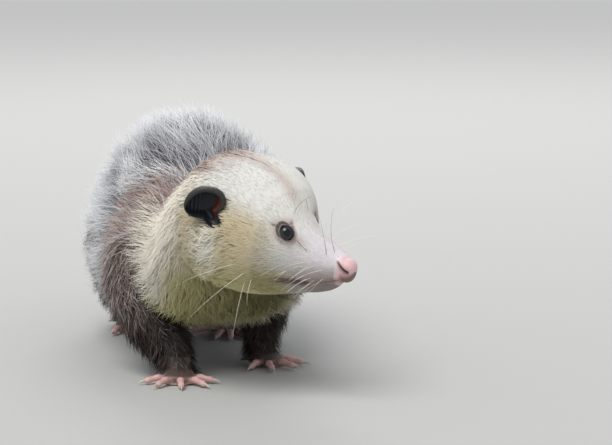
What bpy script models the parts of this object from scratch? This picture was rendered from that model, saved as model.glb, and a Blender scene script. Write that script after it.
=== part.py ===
"""A still, life-size Virginia opossum, standing on four feet with its head turned to its left.

Metres, +Z up. The animal faces -Y, its left side is +X, and it stands on z = 0. The body is worked out
round a working origin on the floor between the front feet, and is moved at the end so that the origin
is the centre of its floor rectangle. Each node is a smooth core. On the torso, the neck, the legs and the
root of the tail, tiers of tapered locks are fused to it, and they end where the coat's tips are.
"""

import math

import bmesh
import bpy
import numpy as np
from mathutils.bvhtree import BVHTree

GAP = 0.0003
# Depth of the long coat over the core: on the body, at the head's end of the neck, on a leg, on the tail.
COAT = 0.0165
NECK_COAT = 0.0050
LEG_COAT = 0.0080
TAIL_COAT = 0.0045
LEG_FADE = 0.7
# How far the core of a leg lies inside the leg's mean outline.
LEG_SUNK = 0.0055
# Length of torso behind the neck that the neck's locks count their overhang in.
NECK_OVER = 0.0700

# Head, measured from the nose tip. The yaw turns it to the animal's left.
NOSE_TIP = np.array([0.0712, -0.1330, 0.1000])
HEAD_YAW = math.radians(42.0)
HEAD_PITCH = math.radians(-12.5)
HEAD_ROLL = math.radians(7.0)
# Distance behind the nose tip, half width, top, level of the widest line, bottom.
HEAD_ROWS = (
    (0.0080, 0.0071, 0.0058, -0.0010, -0.0128),
    (0.0150, 0.0098, 0.0089, -0.0030, -0.0200),
    (0.0270, 0.0135, 0.0133, -0.0050, -0.0268),
    (0.0400, 0.0169, 0.0181, -0.0060, -0.0314),
    (0.0520, 0.0262, 0.0275, -0.0055, -0.0360),
    (0.0650, 0.0402, 0.0420, -0.0045, -0.0403),
    (0.0800, 0.0492, 0.0510, -0.0030, -0.0427),
    (0.0960, 0.0510, 0.0540, -0.0020, -0.0426),
    (0.1100, 0.0505, 0.0540, -0.0010, -0.0411),
    (0.1220, 0.0490, 0.0525, 0.0000, -0.0390),
)
HEAD_ROUNDNESS_TOP = 2.44
HEAD_ROUNDNESS_LOW = 2.2
HEAD_RINGS = 17
HEAD_SIDES = 28

# Eye: where it sits on the head's surface, how far its centre is sunk, and the ring of its lids.
EYE_BACK = 0.0490
EYE_ANGLE = math.radians(41.0)
EYE_RADIUS = 0.0062
EYE_SUNK = 0.0030
LID_THICKNESS = 0.0013
LID_OUT = 0.0002
LID_OPEN_LONG = math.radians(66.0)
LID_OPEN_HIGH = math.radians(56.0)

# Nose pad in front of the head, and its nostrils.
NOSE_HALF = 0.0070
NOSE_TOP = 0.0058
NOSE_LOW = -0.0122
NOSTRIL_BACK = 0.0020
NOSTRIL_SIDE = 0.0046
NOSTRIL_UP = -0.0035
NOSTRIL_RADIUS = 0.0017

# Line of the mouth: distance behind the nose tip and height, and the groove that it is.
MOUTH_ROWS = ((0.0095, -0.0105), (0.0200, -0.0155), (0.0360, -0.0190), (0.0530, -0.0200))
MOUTH_DEPTH = 0.0022
MOUTH_OUT = 0.0030
MOUTH_GROOVE = 0.0009

# Ear: centre of its rim plane in the head's directions, the way it opens, its radii and wall.
EAR_CENTRE = np.array([-0.0967, 0.0523, 0.0244])
EAR_OPENS = np.array([0.58, 0.78, 0.12])
# The left ear is held a little lower and further back than the right.
EAR_LEFT_SHIFT = np.array([-0.0010, 0.0015, -0.0095])
EAR_LONG = 0.0155
EAR_HIGH = 0.0152
EAR_DEEP = 0.0125
EAR_WALL = 0.0014
EAR_ROLL_TOP = math.radians(138.0)
EAR_ROLL_LOW = math.radians(84.0)
# How far the rim reaches in eight directions, in radii: backwards first, then up, forwards and down.
EAR_REACH = (0.89, 1.09, 1.22, 1.17, 0.56, 0.96, 0.38, 0.45)

# Torso core, by distance behind the front feet: half width, bottom, level of the widest line, top.
TORSO_ROWS = (
    (0.0000, 0.0545, 0.0500, 0.0790, 0.1435),
    (0.0400, 0.0635, 0.0440, 0.0755, 0.1535),
    (0.0900, 0.0705, 0.0380, 0.0700, 0.1640),
    (0.1350, 0.0695, 0.0340, 0.0660, 0.1695),
    (0.1800, 0.0645, 0.0360, 0.0665, 0.1675),
    (0.2200, 0.0595, 0.0440, 0.0710, 0.1585),
    (0.2500, 0.0485, 0.0560, 0.0780, 0.1463),
    (0.2720, 0.0320, 0.0740, 0.0930, 0.1302),
    (0.2840, 0.0175, 0.0900, 0.1040, 0.1180),
)
TORSO_SPLIT = 0.1350
TORSO_END = 0.2840
TORSO_ROUNDNESS_TOP = 2.1
TORSO_ROUNDNESS_LOW = 2.5
TORSO_RINGS = 11
BODY_SIDES = 30
NECK_RINGS = 9
# The coat thins towards the root of the tail over this length.
COAT_FADE = 0.0500
COAT_AT_TAIL = 0.0030
# At the head's end the neck's core lies this share of its coat's depth under the head's outline.
NECK_SUNK = 0.8

# Legs with their coat: centre, half width across the body and half width along it, from top to foot.
FRONT_RIGHT_LEG = (
    (-0.0500, 0.0480, 0.1050, 0.0230, 0.0270),
    (-0.0580, 0.0450, 0.0800, 0.0270, 0.0300),
    (-0.0560, 0.0370, 0.0580, 0.0270, 0.0270),
    (-0.0480, 0.0230, 0.0390, 0.0230, 0.0220),
    (-0.0400, 0.0080, 0.0240, 0.0170, 0.0160),
    (-0.0350, -0.0040, 0.0130, 0.0120, 0.0115),
)
FRONT_LEFT_LEG = (
    (0.0470, 0.0680, 0.1050, 0.0230, 0.0270),
    (0.0500, 0.0690, 0.0800, 0.0250, 0.0290),
    (0.0460, 0.0680, 0.0580, 0.0215, 0.0250),
    (0.0410, 0.0620, 0.0390, 0.0180, 0.0190),
    (0.0380, 0.0550, 0.0250, 0.0140, 0.0145),
    (0.0365, 0.0490, 0.0130, 0.0110, 0.0110),
)
HIND_RIGHT_LEG = (
    (-0.0400, 0.2300, 0.1080, 0.0240, 0.0300),
    (-0.0480, 0.2080, 0.0850, 0.0270, 0.0370),
    (-0.0530, 0.1940, 0.0620, 0.0240, 0.0320),
    (-0.0500, 0.2080, 0.0420, 0.0185, 0.0220),
    (-0.0440, 0.2290, 0.0260, 0.0135, 0.0150),
    (-0.0400, 0.2380, 0.0130, 0.0105, 0.0115),
)
HIND_LEFT_LEG = (
    (0.0400, 0.2260, 0.1080, 0.0240, 0.0300),
    (0.0500, 0.2010, 0.0850, 0.0270, 0.0370),
    (0.0530, 0.1840, 0.0620, 0.0240, 0.0320),
    (0.0460, 0.1900, 0.0420, 0.0185, 0.0220),
    (0.0360, 0.2010, 0.0260, 0.0135, 0.0150),
    (0.0310, 0.2070, 0.0130, 0.0105, 0.0115),
)
LEGS = (
    ("front_right", FRONT_RIGHT_LEG),
    ("front_left", FRONT_LEFT_LEG),
    ("hind_right", HIND_RIGHT_LEG),
    ("hind_left", HIND_LEFT_LEG),
)
LEG_RINGS = 9
LEG_SIDES = 12

# Feet: the point under the wrist or ankle, and the heading, turned to the left from straight ahead.
FRONT_RIGHT_FOOT = (-0.0345, -0.0070, math.radians(-10.0))
FRONT_LEFT_FOOT = (0.0365, 0.0470, math.radians(40.0))
HIND_RIGHT_FOOT = (-0.0400, 0.2380, math.radians(-4.0))
HIND_LEFT_FOOT = (0.0310, 0.2070, math.radians(8.0))
# Palm and sole: distance ahead of the wrist, half width, height.
PALM_ROWS = (
    (-0.0100, 0.0050, 0.0080),
    (-0.0050, 0.0090, 0.0130),
    (0.0030, 0.0110, 0.0135),
    (0.0110, 0.0120, 0.0105),
    (0.0175, 0.0100, 0.0070),
)
SOLE_ROWS = (
    (-0.0110, 0.0050, 0.0100),
    (-0.0040, 0.0085, 0.0150),
    (0.0080, 0.0095, 0.0135),
    (0.0220, 0.0115, 0.0100),
    (0.0320, 0.0115, 0.0078),
    (0.0390, 0.0085, 0.0060),
)
# Digits: knuckle ahead and to the left, heading to the left, length, radius at the knuckle and tip.
FRONT_DIGITS = (
    (0.0060, 0.0090, math.radians(74.0), 0.0170, 0.0029, 0.0021),
    (0.0120, 0.0075, math.radians(38.0), 0.0190, 0.0029, 0.0021),
    (0.0140, 0.0010, math.radians(4.0), 0.0200, 0.0030, 0.0022),
    (0.0120, -0.0060, math.radians(-30.0), 0.0190, 0.0029, 0.0021),
    (0.0060, -0.0090, math.radians(-66.0), 0.0170, 0.0029, 0.0021),
)
HIND_DIGITS = (
    (0.0340, 0.0075, math.radians(34.0), 0.0180, 0.0029, 0.0021),
    (0.0360, 0.0030, math.radians(14.0), 0.0200, 0.0030, 0.0022),
    (0.0360, -0.0020, math.radians(-5.0), 0.0200, 0.0030, 0.0022),
    (0.0330, -0.0065, math.radians(-26.0), 0.0180, 0.0029, 0.0021),
)
# The hind foot's great toe stands off its inner side and has no claw.
GREAT_TOE = (0.0150, 0.0070, math.radians(72.0), 0.0230, 0.0040, 0.0034)
CLAW_LENGTH = 0.0055
CLAW_RADIUS = 0.0013
CLAW_TIP = 0.0004
CLAW_ROOT = 0.0016
CLAW_HEIGHT = 0.0026
CLAW_DROP = 0.0016
# A digit's last ring as a share of its radius, the height of its arch and the rise of its knuckle.
TOE_BLUNT = 0.62
DIGIT_ARCH = 0.0016
KNUCKLE_RISE = 0.0012
# How far above the ankle the wrist's core starts, the height at which it ends and how much thinner it is.
WRIST_ABOVE = 0.0040
WRIST_END = 0.0060
WRIST_SUNK = 0.0030
DIGIT_SIDES = 5
PALM_SIDES = 10
# How far the soles and the tail are sunk before the floor trims them flat.
SOLE_SUNK = 0.0006

# Tail: centre and radius, from its root to its tip on the floor behind the body.
TAIL_ROWS = (
    (0.0000, 0.2843, 0.1040, 0.0175),
    (0.0010, 0.3050, 0.0990, 0.0160),
    (0.0030, 0.3300, 0.0820, 0.0140),
    (0.0080, 0.3600, 0.0570, 0.0122),
    (0.0150, 0.3900, 0.0330, 0.0108),
    (0.0250, 0.4250, 0.0150, 0.0097),
    (0.0400, 0.4650, 0.0084, 0.0086),
    (0.0600, 0.5100, 0.0064, 0.0070),
    (0.0780, 0.5500, 0.0050, 0.0056),
    (0.0850, 0.5850, 0.0038, 0.0044),
    (0.0840, 0.6150, 0.0028, 0.0032),
)
TAIL_PARTS = (("tail_base", 0.0, 0.36), ("tail_middle", 0.36, 0.68), ("tail_end", 0.68, 1.0))
TAIL_SIDES = 9
TAIL_RINGS = 9

# A lock of the coat, from its root to its tip: place along it, width, height over the core in coat depths.
LOCK_ROWS = ((0.0, 0.60, -0.28), (0.22, 0.96, 0.18), (0.48, 0.96, 0.56), (0.76, 0.66, 0.84), (1.0, 0.0, 1.0))
SHORT_LOCK_ROWS = ((0.0, 0.60, -0.30), (0.32, 0.96, 0.36), (0.68, 0.70, 0.80), (1.0, 0.0, 1.0))
LOCK_THICKNESS = 0.21
LOCK_THINNEST = 0.0014
LOCK_THINS = 0.4
LOCK_CLEAR = 0.0004
# How far behind the start of its node the first tier is rooted.
ROOT_CLEAR = 0.0010
LOCK_SCALES = (1.0, 0.82, 0.64)
LOCK_VARIES = 0.16
# How far locks stray from even spacing, in shares of it, and how far they bend from root to tip, in radians.
LOCK_STRAYS = 0.12
LOCK_BENDS = 0.16
SHORTEST_LOCK = 0.0110
# On the body: room between tiers, length, width, and how far a lock may reach past the end of its node.
BODY_STEP = 0.0400
BODY_LOCK = 0.0600
BODY_WIDTH = 0.0480
OVERHANG = 0.0150
REAR_CLEAR = 0.0120
DROOP = math.radians(17.0)
# Mean distance of the coat from the body's axis, which turns a sideways slope into an angle.
BODY_RADIUS = 0.0750
# Locks below this sine of their angle lie straight back.
UNDERSIDE = -0.6
# On the neck, the legs and the tail's root: shares of the length where tiers start, locks in each, reach.
NECK_TIERS = (0.03, 0.38, 0.70)
NECK_LOCKS = 8
NECK_REACH = 0.48
LEG_TIERS = (0.24, 0.49, 0.74)
LEG_LOCKS = 5
LEG_REACH = 0.34
LIMB_LAST = 0.985
TAIL_TIERS = (0.004, 0.060)
TAIL_LOCKS = 5
TAIL_REACH = 0.095
SEED = 5

# Colours and roughness.
WHITE_COAT = ((0.72, 0.68, 0.60), 0.85)
GREY_COAT = ((0.34, 0.31, 0.29), 0.85)
CREAM_COAT = ((0.62, 0.54, 0.40), 0.85)
BROWN_COAT = ((0.08, 0.05, 0.04), 0.85)
NOSE_PINK = ((0.72, 0.36, 0.33), 0.40)
TOE_PINK = ((0.62, 0.40, 0.38), 0.60)
EAR_BLACK = ((0.02, 0.02, 0.025), 0.45)
EYE_BLACK = ((0.01, 0.012, 0.02), 0.08)
TAIL_SKIN = ((0.55, 0.46, 0.42), 0.60)


def through(rows, at):
    """A smooth curve through rows of (parameter, values...), read at an array of parameters."""
    rows = np.asarray(rows, float)
    x, y = rows[:, 0], rows[:, 1:]
    slope = np.gradient(y, x, axis=0)
    at = np.clip(np.asarray(at, float), x[0], x[-1])
    i = np.clip(np.searchsorted(x, at, side="right") - 1, 0, len(x) - 2)
    step = (x[i + 1] - x[i])[..., None]
    u = (at - x[i])[..., None] / step
    return (
        (2 * u**3 - 3 * u**2 + 1) * y[i]
        + (u**3 - 2 * u**2 + u) * step * slope[i]
        + (3 * u**2 - 2 * u**3) * y[i + 1]
        + (u**3 - u**2) * step * slope[i + 1]
    )


def keyed_by_length(rows):
    """Rows that start with x, y, z, with their share of the whole length put in front."""
    rows = np.asarray(rows, float)
    reach = np.concatenate([[0.0], np.cumsum(np.linalg.norm(np.diff(rows[:, :3], axis=0), axis=1))])
    return np.column_stack([reach / reach[-1], rows])


def along(rows, count, first=0.0, last=1.0):
    """Rows spaced evenly by length on the smooth curve through rows that start with x, y, z."""
    return through(keyed_by_length(rows), np.linspace(first, last, count))


def rounded(angle, power):
    """The cosine-like and sine-like parts of a superellipse."""
    c, s = np.cos(angle), np.sin(angle)
    return np.sign(c) * np.abs(c) ** (2 / power), np.sign(s) * np.abs(s) ** (2 / power)


def unit(vector):
    """The same vectors at length one."""
    vector = np.asarray(vector, float)
    return vector / np.linalg.norm(vector, axis=-1, keepdims=True)


def turns(count):
    """Angles all the way round, without the last one."""
    return np.arange(count) * (2 * math.pi / count)


def head_axes():
    """Forward, left and up of the head as the columns of a matrix."""
    forward = np.array(
        [
            math.sin(HEAD_YAW) * math.cos(HEAD_PITCH),
            -math.cos(HEAD_YAW) * math.cos(HEAD_PITCH),
            math.sin(HEAD_PITCH),
        ]
    )
    level = np.array([math.cos(HEAD_YAW), math.sin(HEAD_YAW), 0.0])
    rise = np.cross(forward, level)
    left = level * math.cos(HEAD_ROLL) + rise * math.sin(HEAD_ROLL)
    return np.stack([forward, left, np.cross(forward, left)], axis=1)


def in_head(forward, left, up):
    """Points given from the nose tip in the head's own directions, in the body's frame."""
    local = np.stack(np.broadcast_arrays(forward, left, up), axis=-1)
    return NOSE_TIP + local @ head_axes().T


def head_surface(back, angle, grow=0.0):
    """Point of the head at a distance behind the nose tip and an angle round its axis, from the left up."""
    back, angle = np.broadcast_arrays(np.asarray(back, float), angle)
    half, top, middle, low = np.moveaxis(through(HEAD_ROWS, back), -1, 0)
    cu, su = rounded(angle, HEAD_ROUNDNESS_TOP)
    cl, sl = rounded(angle, HEAD_ROUNDNESS_LOW)
    upper = np.sin(angle) >= 0
    across = (half + grow) * np.where(upper, cu, cl)
    up = middle + np.where(upper, (top - middle + grow) * su, (middle - low + grow) * sl)
    return in_head(-back, across, up)


def torso_surface(y, angle, grow=0.0):
    """Point of the torso core at a place along the body and an angle round it, from the left up."""
    y, angle = np.broadcast_arrays(np.asarray(y, float), angle)
    half, low, level, top = np.moveaxis(through(TORSO_ROWS, y), -1, 0)
    cu, su = rounded(angle, TORSO_ROUNDNESS_TOP)
    cl, sl = rounded(angle, TORSO_ROUNDNESS_LOW)
    upper = np.sin(angle) >= 0
    x = (half + grow) * np.where(upper, cu, cl)
    z = level + np.where(upper, (top - level + grow) * su, (level - low + grow) * sl)
    return np.stack([x, y, z], axis=-1)


def coat_depth(y):
    """How deep the coat is along the torso: full, and thin at the root of the tail."""
    share = np.clip((TORSO_END - np.asarray(y, float)) / COAT_FADE, 0.0, 1.0)
    return COAT_AT_TAIL + (COAT - COAT_AT_TAIL) * share


def neck_surface(share, angle, rise, grow=0.0):
    """Neck from the head's back (share 0) to the torso's front (share 1), a cubic along each angle.

    rise is 0 on the core and 1 at the tips of the coat.
    """
    back, front = HEAD_ROWS[-1][0], TORSO_ROWS[0][0]
    share, angle, rise = np.broadcast_arrays(np.asarray(share, float), angle, rise)
    start = head_surface(back, angle, (rise - NECK_SUNK) * NECK_COAT + grow)
    end = torso_surface(front, angle, rise * COAT + grow)
    reach = np.linalg.norm(end - start, axis=-1, keepdims=True)
    backward, rearward = -head_axes()[:, 0], np.array([0.0, 1.0, 0.0])
    leave = backward * np.clip((end - start) @ backward[:, None], 0.15 * reach, reach)
    arrive = rearward * np.clip((end - start) @ rearward[:, None], 0.15 * reach, reach)
    u = share[..., None]
    return (
        (2 * u**3 - 3 * u**2 + 1) * start
        + (u**3 - 2 * u**2 + u) * leave
        + (3 * u**2 - 2 * u**3) * end
        + (u**3 - u**2) * arrive
    )


def limb_surface(rows, share, angle, grow=0.0):
    """Point of a leg at a share of its length and an angle round it, its rings square to its path."""
    keyed = keyed_by_length(rows)
    share, angle = np.broadcast_arrays(np.asarray(share, float), angle)
    here = through(keyed, share)
    step = 1e-3
    ahead = through(keyed, np.clip(share + step, 0, 1))[..., :3]
    tangent = unit(ahead - through(keyed, np.clip(share - step, 0, 1))[..., :3])
    hint = np.array([1.0, 0.0, 0.0])
    side = unit(hint - tangent[..., :1] * tangent)
    other = np.cross(tangent, side)
    c, s = np.cos(angle)[..., None], np.sin(angle)[..., None]
    grow = np.broadcast_to(np.asarray(grow, float), share.shape)[..., None]
    return here[..., :3] + side * c * (here[..., 3:4] + grow) + other * s * (here[..., -1:] + grow)


def loft(rings):
    """Points and triangles of the closed surface through rings of equal count, with a fan on each end."""
    rings = np.asarray(rings, float)
    count, sides = rings.shape[:2]
    ends = rings[[0, -1]].mean(axis=1)
    points = np.concatenate([rings.reshape(-1, 3), ends])
    i, j = np.meshgrid(np.arange(count - 1), np.arange(sides), indexing="ij")
    k = (j + 1) % sides
    a, b, c, d = (i * sides + j, i * sides + k, (i + 1) * sides + k, (i + 1) * sides + j)
    walls = np.concatenate([np.stack([a, b, c], -1).reshape(-1, 3), np.stack([a, c, d], -1).reshape(-1, 3)])
    j = np.arange(sides)
    k = (j + 1) % sides
    first, last = np.full(sides, count * sides), np.full(sides, count * sides + 1)
    low = np.stack([first, k, j], -1)
    high = np.stack([last, (count - 1) * sides + j, (count - 1) * sides + k], -1)
    faces = np.concatenate([walls, low, high])
    corners = points[faces] - points.mean(axis=0)
    inside_out = np.linalg.det(corners).sum() < 0
    return points, faces[:, ::-1] if inside_out else faces


def frames(path, side_hint):
    """Tangent, side and third direction along a path, with the side near side_hint."""
    tangent = unit(np.gradient(path, axis=0))
    side = side_hint - (tangent @ side_hint)[:, None] * tangent
    side = unit(side)
    return tangent, side, np.cross(tangent, side)


def sweep(path, side_hint, half_side, half_other, sides, grow=0.0):
    """Closed tube with elliptical rings square to its path."""
    path = np.asarray(path, float)
    tangent, side, other = frames(path, np.asarray(side_hint, float))
    path = path.copy()
    path[0] -= tangent[0] * grow
    path[-1] += tangent[-1] * grow
    angle = turns(sides)
    half_side = np.broadcast_to(half_side, len(path))[:, None, None] + grow
    half_other = np.broadcast_to(half_other, len(path))[:, None, None] + grow
    rings = (
        path[:, None]
        + side[:, None] * np.cos(angle)[None, :, None] * half_side
        + other[:, None] * np.sin(angle)[None, :, None] * half_other
    )
    return loft(rings)


def ball(centre, radius, rings=7, sides=11, axis=(0.0, 0.0, 1.0)):
    """Sphere as rings round an axis."""
    axis = unit(axis)
    side = unit(np.cross(axis, (0.3, 0.9, 0.1)))
    other = np.cross(axis, side)
    polar = np.linspace(0.12, math.pi - 0.12, rings)[:, None, None]
    angle = turns(sides)[None, :, None]
    return loft(
        np.asarray(centre)
        + radius * (np.cos(polar) * axis + np.sin(polar) * (np.cos(angle) * side + np.sin(angle) * other))
    )


def block(low, high):
    """Box between two corners."""
    low, high = np.asarray(low, float), np.asarray(high, float)
    square = np.array([[0, 0], [1, 0], [1, 1], [0, 1]], float)
    corners = low[:2] + square * (high - low)[:2]
    return loft([np.column_stack([corners, np.full(4, level)]) for level in (low[2], high[2])])


def mesh_object(name, shape):
    """Object holding a closed shape given as points and triangles."""
    points, faces = shape
    mesh = bpy.data.meshes.new(name)
    mesh.from_pydata(points.tolist(), [], faces.tolist())
    mesh.update()
    return bpy.data.objects.new(name, mesh)


def boolean(obj, shapes, operation):
    """Joins shapes to an object, or cuts them from it, and leaves the result in its mesh."""
    group = bpy.data.collections.new(obj.name + "_" + operation.lower())
    bpy.context.scene.collection.children.link(group)
    for shape in shapes:
        group.objects.link(mesh_object(obj.name + "_piece", shape))
    modifier = obj.modifiers.new(operation.lower(), "BOOLEAN")
    modifier.operation = operation
    modifier.operand_type = "COLLECTION"
    modifier.collection = group
    modifier.solver = "MANIFOLD"
    bpy.context.view_layer.update()
    graph = bpy.context.evaluated_depsgraph_get()
    result = bpy.data.meshes.new_from_object(obj.evaluated_get(graph), depsgraph=graph)
    obj.modifiers.clear()
    obj.data = result
    for piece in list(group.objects):
        bpy.data.objects.remove(piece)
    bpy.data.collections.remove(group)


def keep_largest(obj):
    """Leaves only the closed surface of the object that holds the most."""
    shape = bmesh.new()
    shape.from_mesh(obj.data)
    bmesh.ops.triangulate(shape, faces=shape.faces)
    shape.faces.ensure_lookup_table()
    island = [-1] * len(shape.faces)
    volumes = []
    for seed in shape.faces:
        if island[seed.index] >= 0:
            continue
        island[seed.index] = len(volumes)
        stack, volume = [seed], 0.0
        while stack:
            face = stack.pop()
            a, b, c = (vertex.co for vertex in face.verts)
            volume += a.dot(b.cross(c)) / 6
            for edge in face.edges:
                for near in edge.link_faces:
                    if island[near.index] < 0:
                        island[near.index] = len(volumes)
                        stack.append(near)
        volumes.append(volume)
    best = volumes.index(max(volumes))
    loose = [face for face in shape.faces if island[face.index] != best]
    bmesh.ops.delete(shape, geom=loose, context="FACES")
    shape.to_mesh(obj.data)
    shape.free()


def finish(obj):
    """Keeps a node's largest surface, shades it smooth and gives it its material."""
    keep_largest(obj)
    obj.data.materials.clear()
    obj.data.materials.append(bpy.data.materials[obj.name])
    obj.data.shade_smooth()


def node(name, look, pieces, cutters=()):
    """One named solid: its pieces joined, its cutters taken away, its largest surface kept."""
    obj = mesh_object(name, pieces[0])
    bpy.context.scene.collection.objects.link(obj)
    if len(pieces) > 1:
        boolean(obj, pieces[1:], "UNION")
    if cutters:
        boolean(obj, cutters, "DIFFERENCE")
    colour, roughness = look
    material = bpy.data.materials.new(name)
    material.use_nodes = True
    shader = material.node_tree.nodes["Principled BSDF"]
    shader.inputs["Base Color"].default_value = (*colour, 1.0)
    shader.inputs["Roughness"].default_value = roughness
    shader.inputs["Metallic"].default_value = 0.0
    finish(obj)


def floor():
    """Slab under z = 0 that trims soles and tail flat."""
    return block((-0.4, -0.4, -0.1), (0.4, 0.9, 0.0))


def head_shape(grow=0.0):
    """The head from the plane behind the nose pad to the plane in front of the neck."""
    back = np.linspace(HEAD_ROWS[0][0], HEAD_ROWS[-1][0], HEAD_RINGS)[:, None]
    rings = head_surface(back, turns(HEAD_SIDES)[None], grow)
    rings[0] += head_axes()[:, 0] * grow
    rings[-1] -= head_axes()[:, 0] * grow
    return loft(rings)


def eye_place(side):
    """Centre of an eyeball and the way it looks. side is +1 on the left and -1 on the right."""
    angle = EYE_ANGLE if side > 0 else math.pi - EYE_ANGLE
    step = 1e-4
    here = head_surface(EYE_BACK, angle)
    by_back = head_surface(EYE_BACK + step, angle) - here
    by_angle = head_surface(EYE_BACK, angle + step) - here
    outward = unit(np.cross(by_back, by_angle))
    middle = in_head(-EYE_BACK, 0.0, 0.0)
    if outward @ (here - middle) < 0:
        outward = -outward
    return here - outward * EYE_SUNK, outward


def lids(side):
    """Ring of the lids: a tube round the eyeball, longer from front to back than it is high."""
    centre, outward = eye_place(side)
    forward = head_axes()[:, 0]
    long = unit(forward - (forward @ outward) * outward)
    high = np.cross(outward, long)
    turn = turns(16)
    polar = LID_OPEN_HIGH + (LID_OPEN_LONG - LID_OPEN_HIGH) * np.cos(turn) ** 2
    reach = EYE_RADIUS + LID_OUT
    spoke = np.cos(turn)[:, None] * long + np.sin(turn)[:, None] * high
    path = centre + reach * (np.cos(polar)[:, None] * outward + np.sin(polar)[:, None] * spoke)
    tangent = unit(np.roll(path, -1, axis=0) - np.roll(path, 1, axis=0))
    normal = unit(path - centre)
    across = np.cross(tangent, normal)
    angle = turns(6)
    rings = path[:, None] + LID_THICKNESS * (
        np.cos(angle)[None, :, None] * normal[:, None] + np.sin(angle)[None, :, None] * across[:, None]
    )
    return closed_ring(rings)


def closed_ring(rings):
    """Points and triangles of a tube whose last ring joins its first."""
    count, sides = rings.shape[:2]
    i, j = np.meshgrid(np.arange(count), np.arange(sides), indexing="ij")
    k, n = (j + 1) % sides, (i + 1) % count
    a, b, c, d = (i * sides + j, i * sides + k, n * sides + k, n * sides + j)
    faces = np.concatenate([np.stack([a, b, c], -1).reshape(-1, 3), np.stack([a, c, d], -1).reshape(-1, 3)])
    points = rings.reshape(-1, 3)
    inside_out = np.linalg.det(points[faces] - points.mean(axis=0)).sum() < 0
    return points, faces[:, ::-1] if inside_out else faces


def mouth_groove():
    """Thin ribbon that cuts the line of the mouth, from one corner round the front to the other."""
    rows = np.asarray(MOUTH_ROWS)
    back = np.linspace(rows[-1, 0], rows[0, 0], 12)
    height = through(rows, back)[:, 0]
    half, top, middle, low = np.moveaxis(through(HEAD_ROWS, back), -1, 0)
    drop = np.clip((middle - height) / (middle - low), 0.0, 1.0)
    across = half * (1 - drop**HEAD_ROUNDNESS_LOW) ** (1 / HEAD_ROUNDNESS_LOW)
    left = np.column_stack([-back, across, height])
    right = left[::-1] * (1, -1, 1)
    path = np.concatenate([left, right])
    tangent = unit(np.gradient(path, axis=0))
    outward = unit(np.cross(tangent, (0.0, 0.0, 1.0)))
    if outward[0, 1] < 0:
        outward = -outward
    out, inn = path + outward * MOUTH_OUT, path - outward * MOUTH_DEPTH
    up = np.array([0.0, 0.0, MOUTH_GROOVE / 2])
    rings = np.stack([inn - up, out - up, out + up, inn + up], axis=1)
    return loft(in_head(rings[..., 0], rings[..., 1], rings[..., 2]))


def build_head():
    """Head with sockets, lids and the line of the mouth."""
    sockets = [ball(eye_place(side)[0], EYE_RADIUS + GAP, axis=eye_place(side)[1]) for side in (1, -1)]
    node("head", WHITE_COAT, [head_shape(), lids(1), lids(-1)], [*sockets, mouth_groove()])
    for side, name in ((1, "eye_left"), (-1, "eye_right")):
        centre, outward = eye_place(side)
        node(name, EYE_BLACK, [ball(centre, EYE_RADIUS, axis=outward)])


def build_nose():
    """Nose pad: a blunt dome in front of the head, with a nostril on each side."""
    share = np.array([0.0, 0.35, 0.62, 0.82, 0.95])
    plane = HEAD_ROWS[0][0] - GAP
    back = plane * (1 - share)
    size = np.sqrt(1 - share**2.4)[:, None]
    angle = turns(16)[None]
    c, s = rounded(angle, 2.4)
    middle, high = (NOSE_TOP + NOSE_LOW) / 2, (NOSE_TOP - NOSE_LOW) / 2
    rings = in_head(-back[:, None], NOSE_HALF * size * c, middle + high * size * s)
    nostrils = [
        ball(in_head(-NOSTRIL_BACK, side * NOSTRIL_SIDE, NOSTRIL_UP), NOSTRIL_RADIUS, rings=7, sides=10)
        for side in (1, -1)
    ]
    node("nose", NOSE_PINK, [loft(rings)], nostrils)


def ear_reach(turn):
    """How far the ear's rim reaches in a direction, in radii, on a smooth closed curve."""
    count = len(EAR_REACH)
    steps = np.arange(-1, count + 2)
    rows = np.column_stack([steps * 2 * math.pi / count, np.take(EAR_REACH, steps % count)])
    return through(rows, turn)[..., 0]


def ear_shape(side):
    """Cup of an ear: a bowl whose rim rolls forward over the top, with a wall of even thickness."""
    mirror = np.array([1.0, side, 1.0])
    opens = unit(EAR_OPENS)
    high = unit(np.array([0.0, 0.0, 1.0]) - opens[2] * opens)
    long = np.cross(high, opens)
    if long[0] > 0:
        long = -long
    turn = turns(24)[None]
    rise = np.sin(turn)
    last = EAR_ROLL_LOW + (EAR_ROLL_TOP - EAR_ROLL_LOW) * np.clip(rise, 0.0, 1.0) ** 1.5
    share = np.linspace(0.12, 1.0, 7)[:, None]
    polar = share * last
    reach = ear_reach(turn)
    centre = EAR_CENTRE + (EAR_LEFT_SHIFT if side > 0 else 0.0)
    out = []
    for offset in (EAR_WALL / 2, -EAR_WALL / 2):
        width = EAR_LONG * reach + offset
        height = EAR_HIGH * reach + offset
        depth = EAR_DEEP + offset
        along_long = np.cos(turn) * np.sin(polar) * width
        along_high = rise * np.sin(polar) * height
        along_open = -np.cos(polar) * depth + 0 * turn
        local = (
            centre
            + along_long[..., None] * long
            + along_high[..., None] * high
            + along_open[..., None] * opens
        )
        out.append(local * mirror)
    rings = np.concatenate([out[0], out[1][::-1]])
    return loft(in_head(rings[..., 0], rings[..., 1], rings[..., 2]))


def torso_shape(first, last, grow=0.0):
    """A length of the torso's core between two planes across the body."""
    y = np.linspace(first, last, TORSO_RINGS)[:, None]
    rings = torso_surface(y, turns(BODY_SIDES)[None], grow)
    rings[0, :, 1] -= grow
    rings[-1, :, 1] += grow
    return loft(rings)


def neck_shape(grow=0.0):
    """The core of the neck from the head's back plane to the torso's front plane."""
    share = np.linspace(0.0, 1.0, NECK_RINGS)[:, None]
    return loft(neck_surface(share, turns(BODY_SIDES)[None], 0.0, grow))


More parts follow.
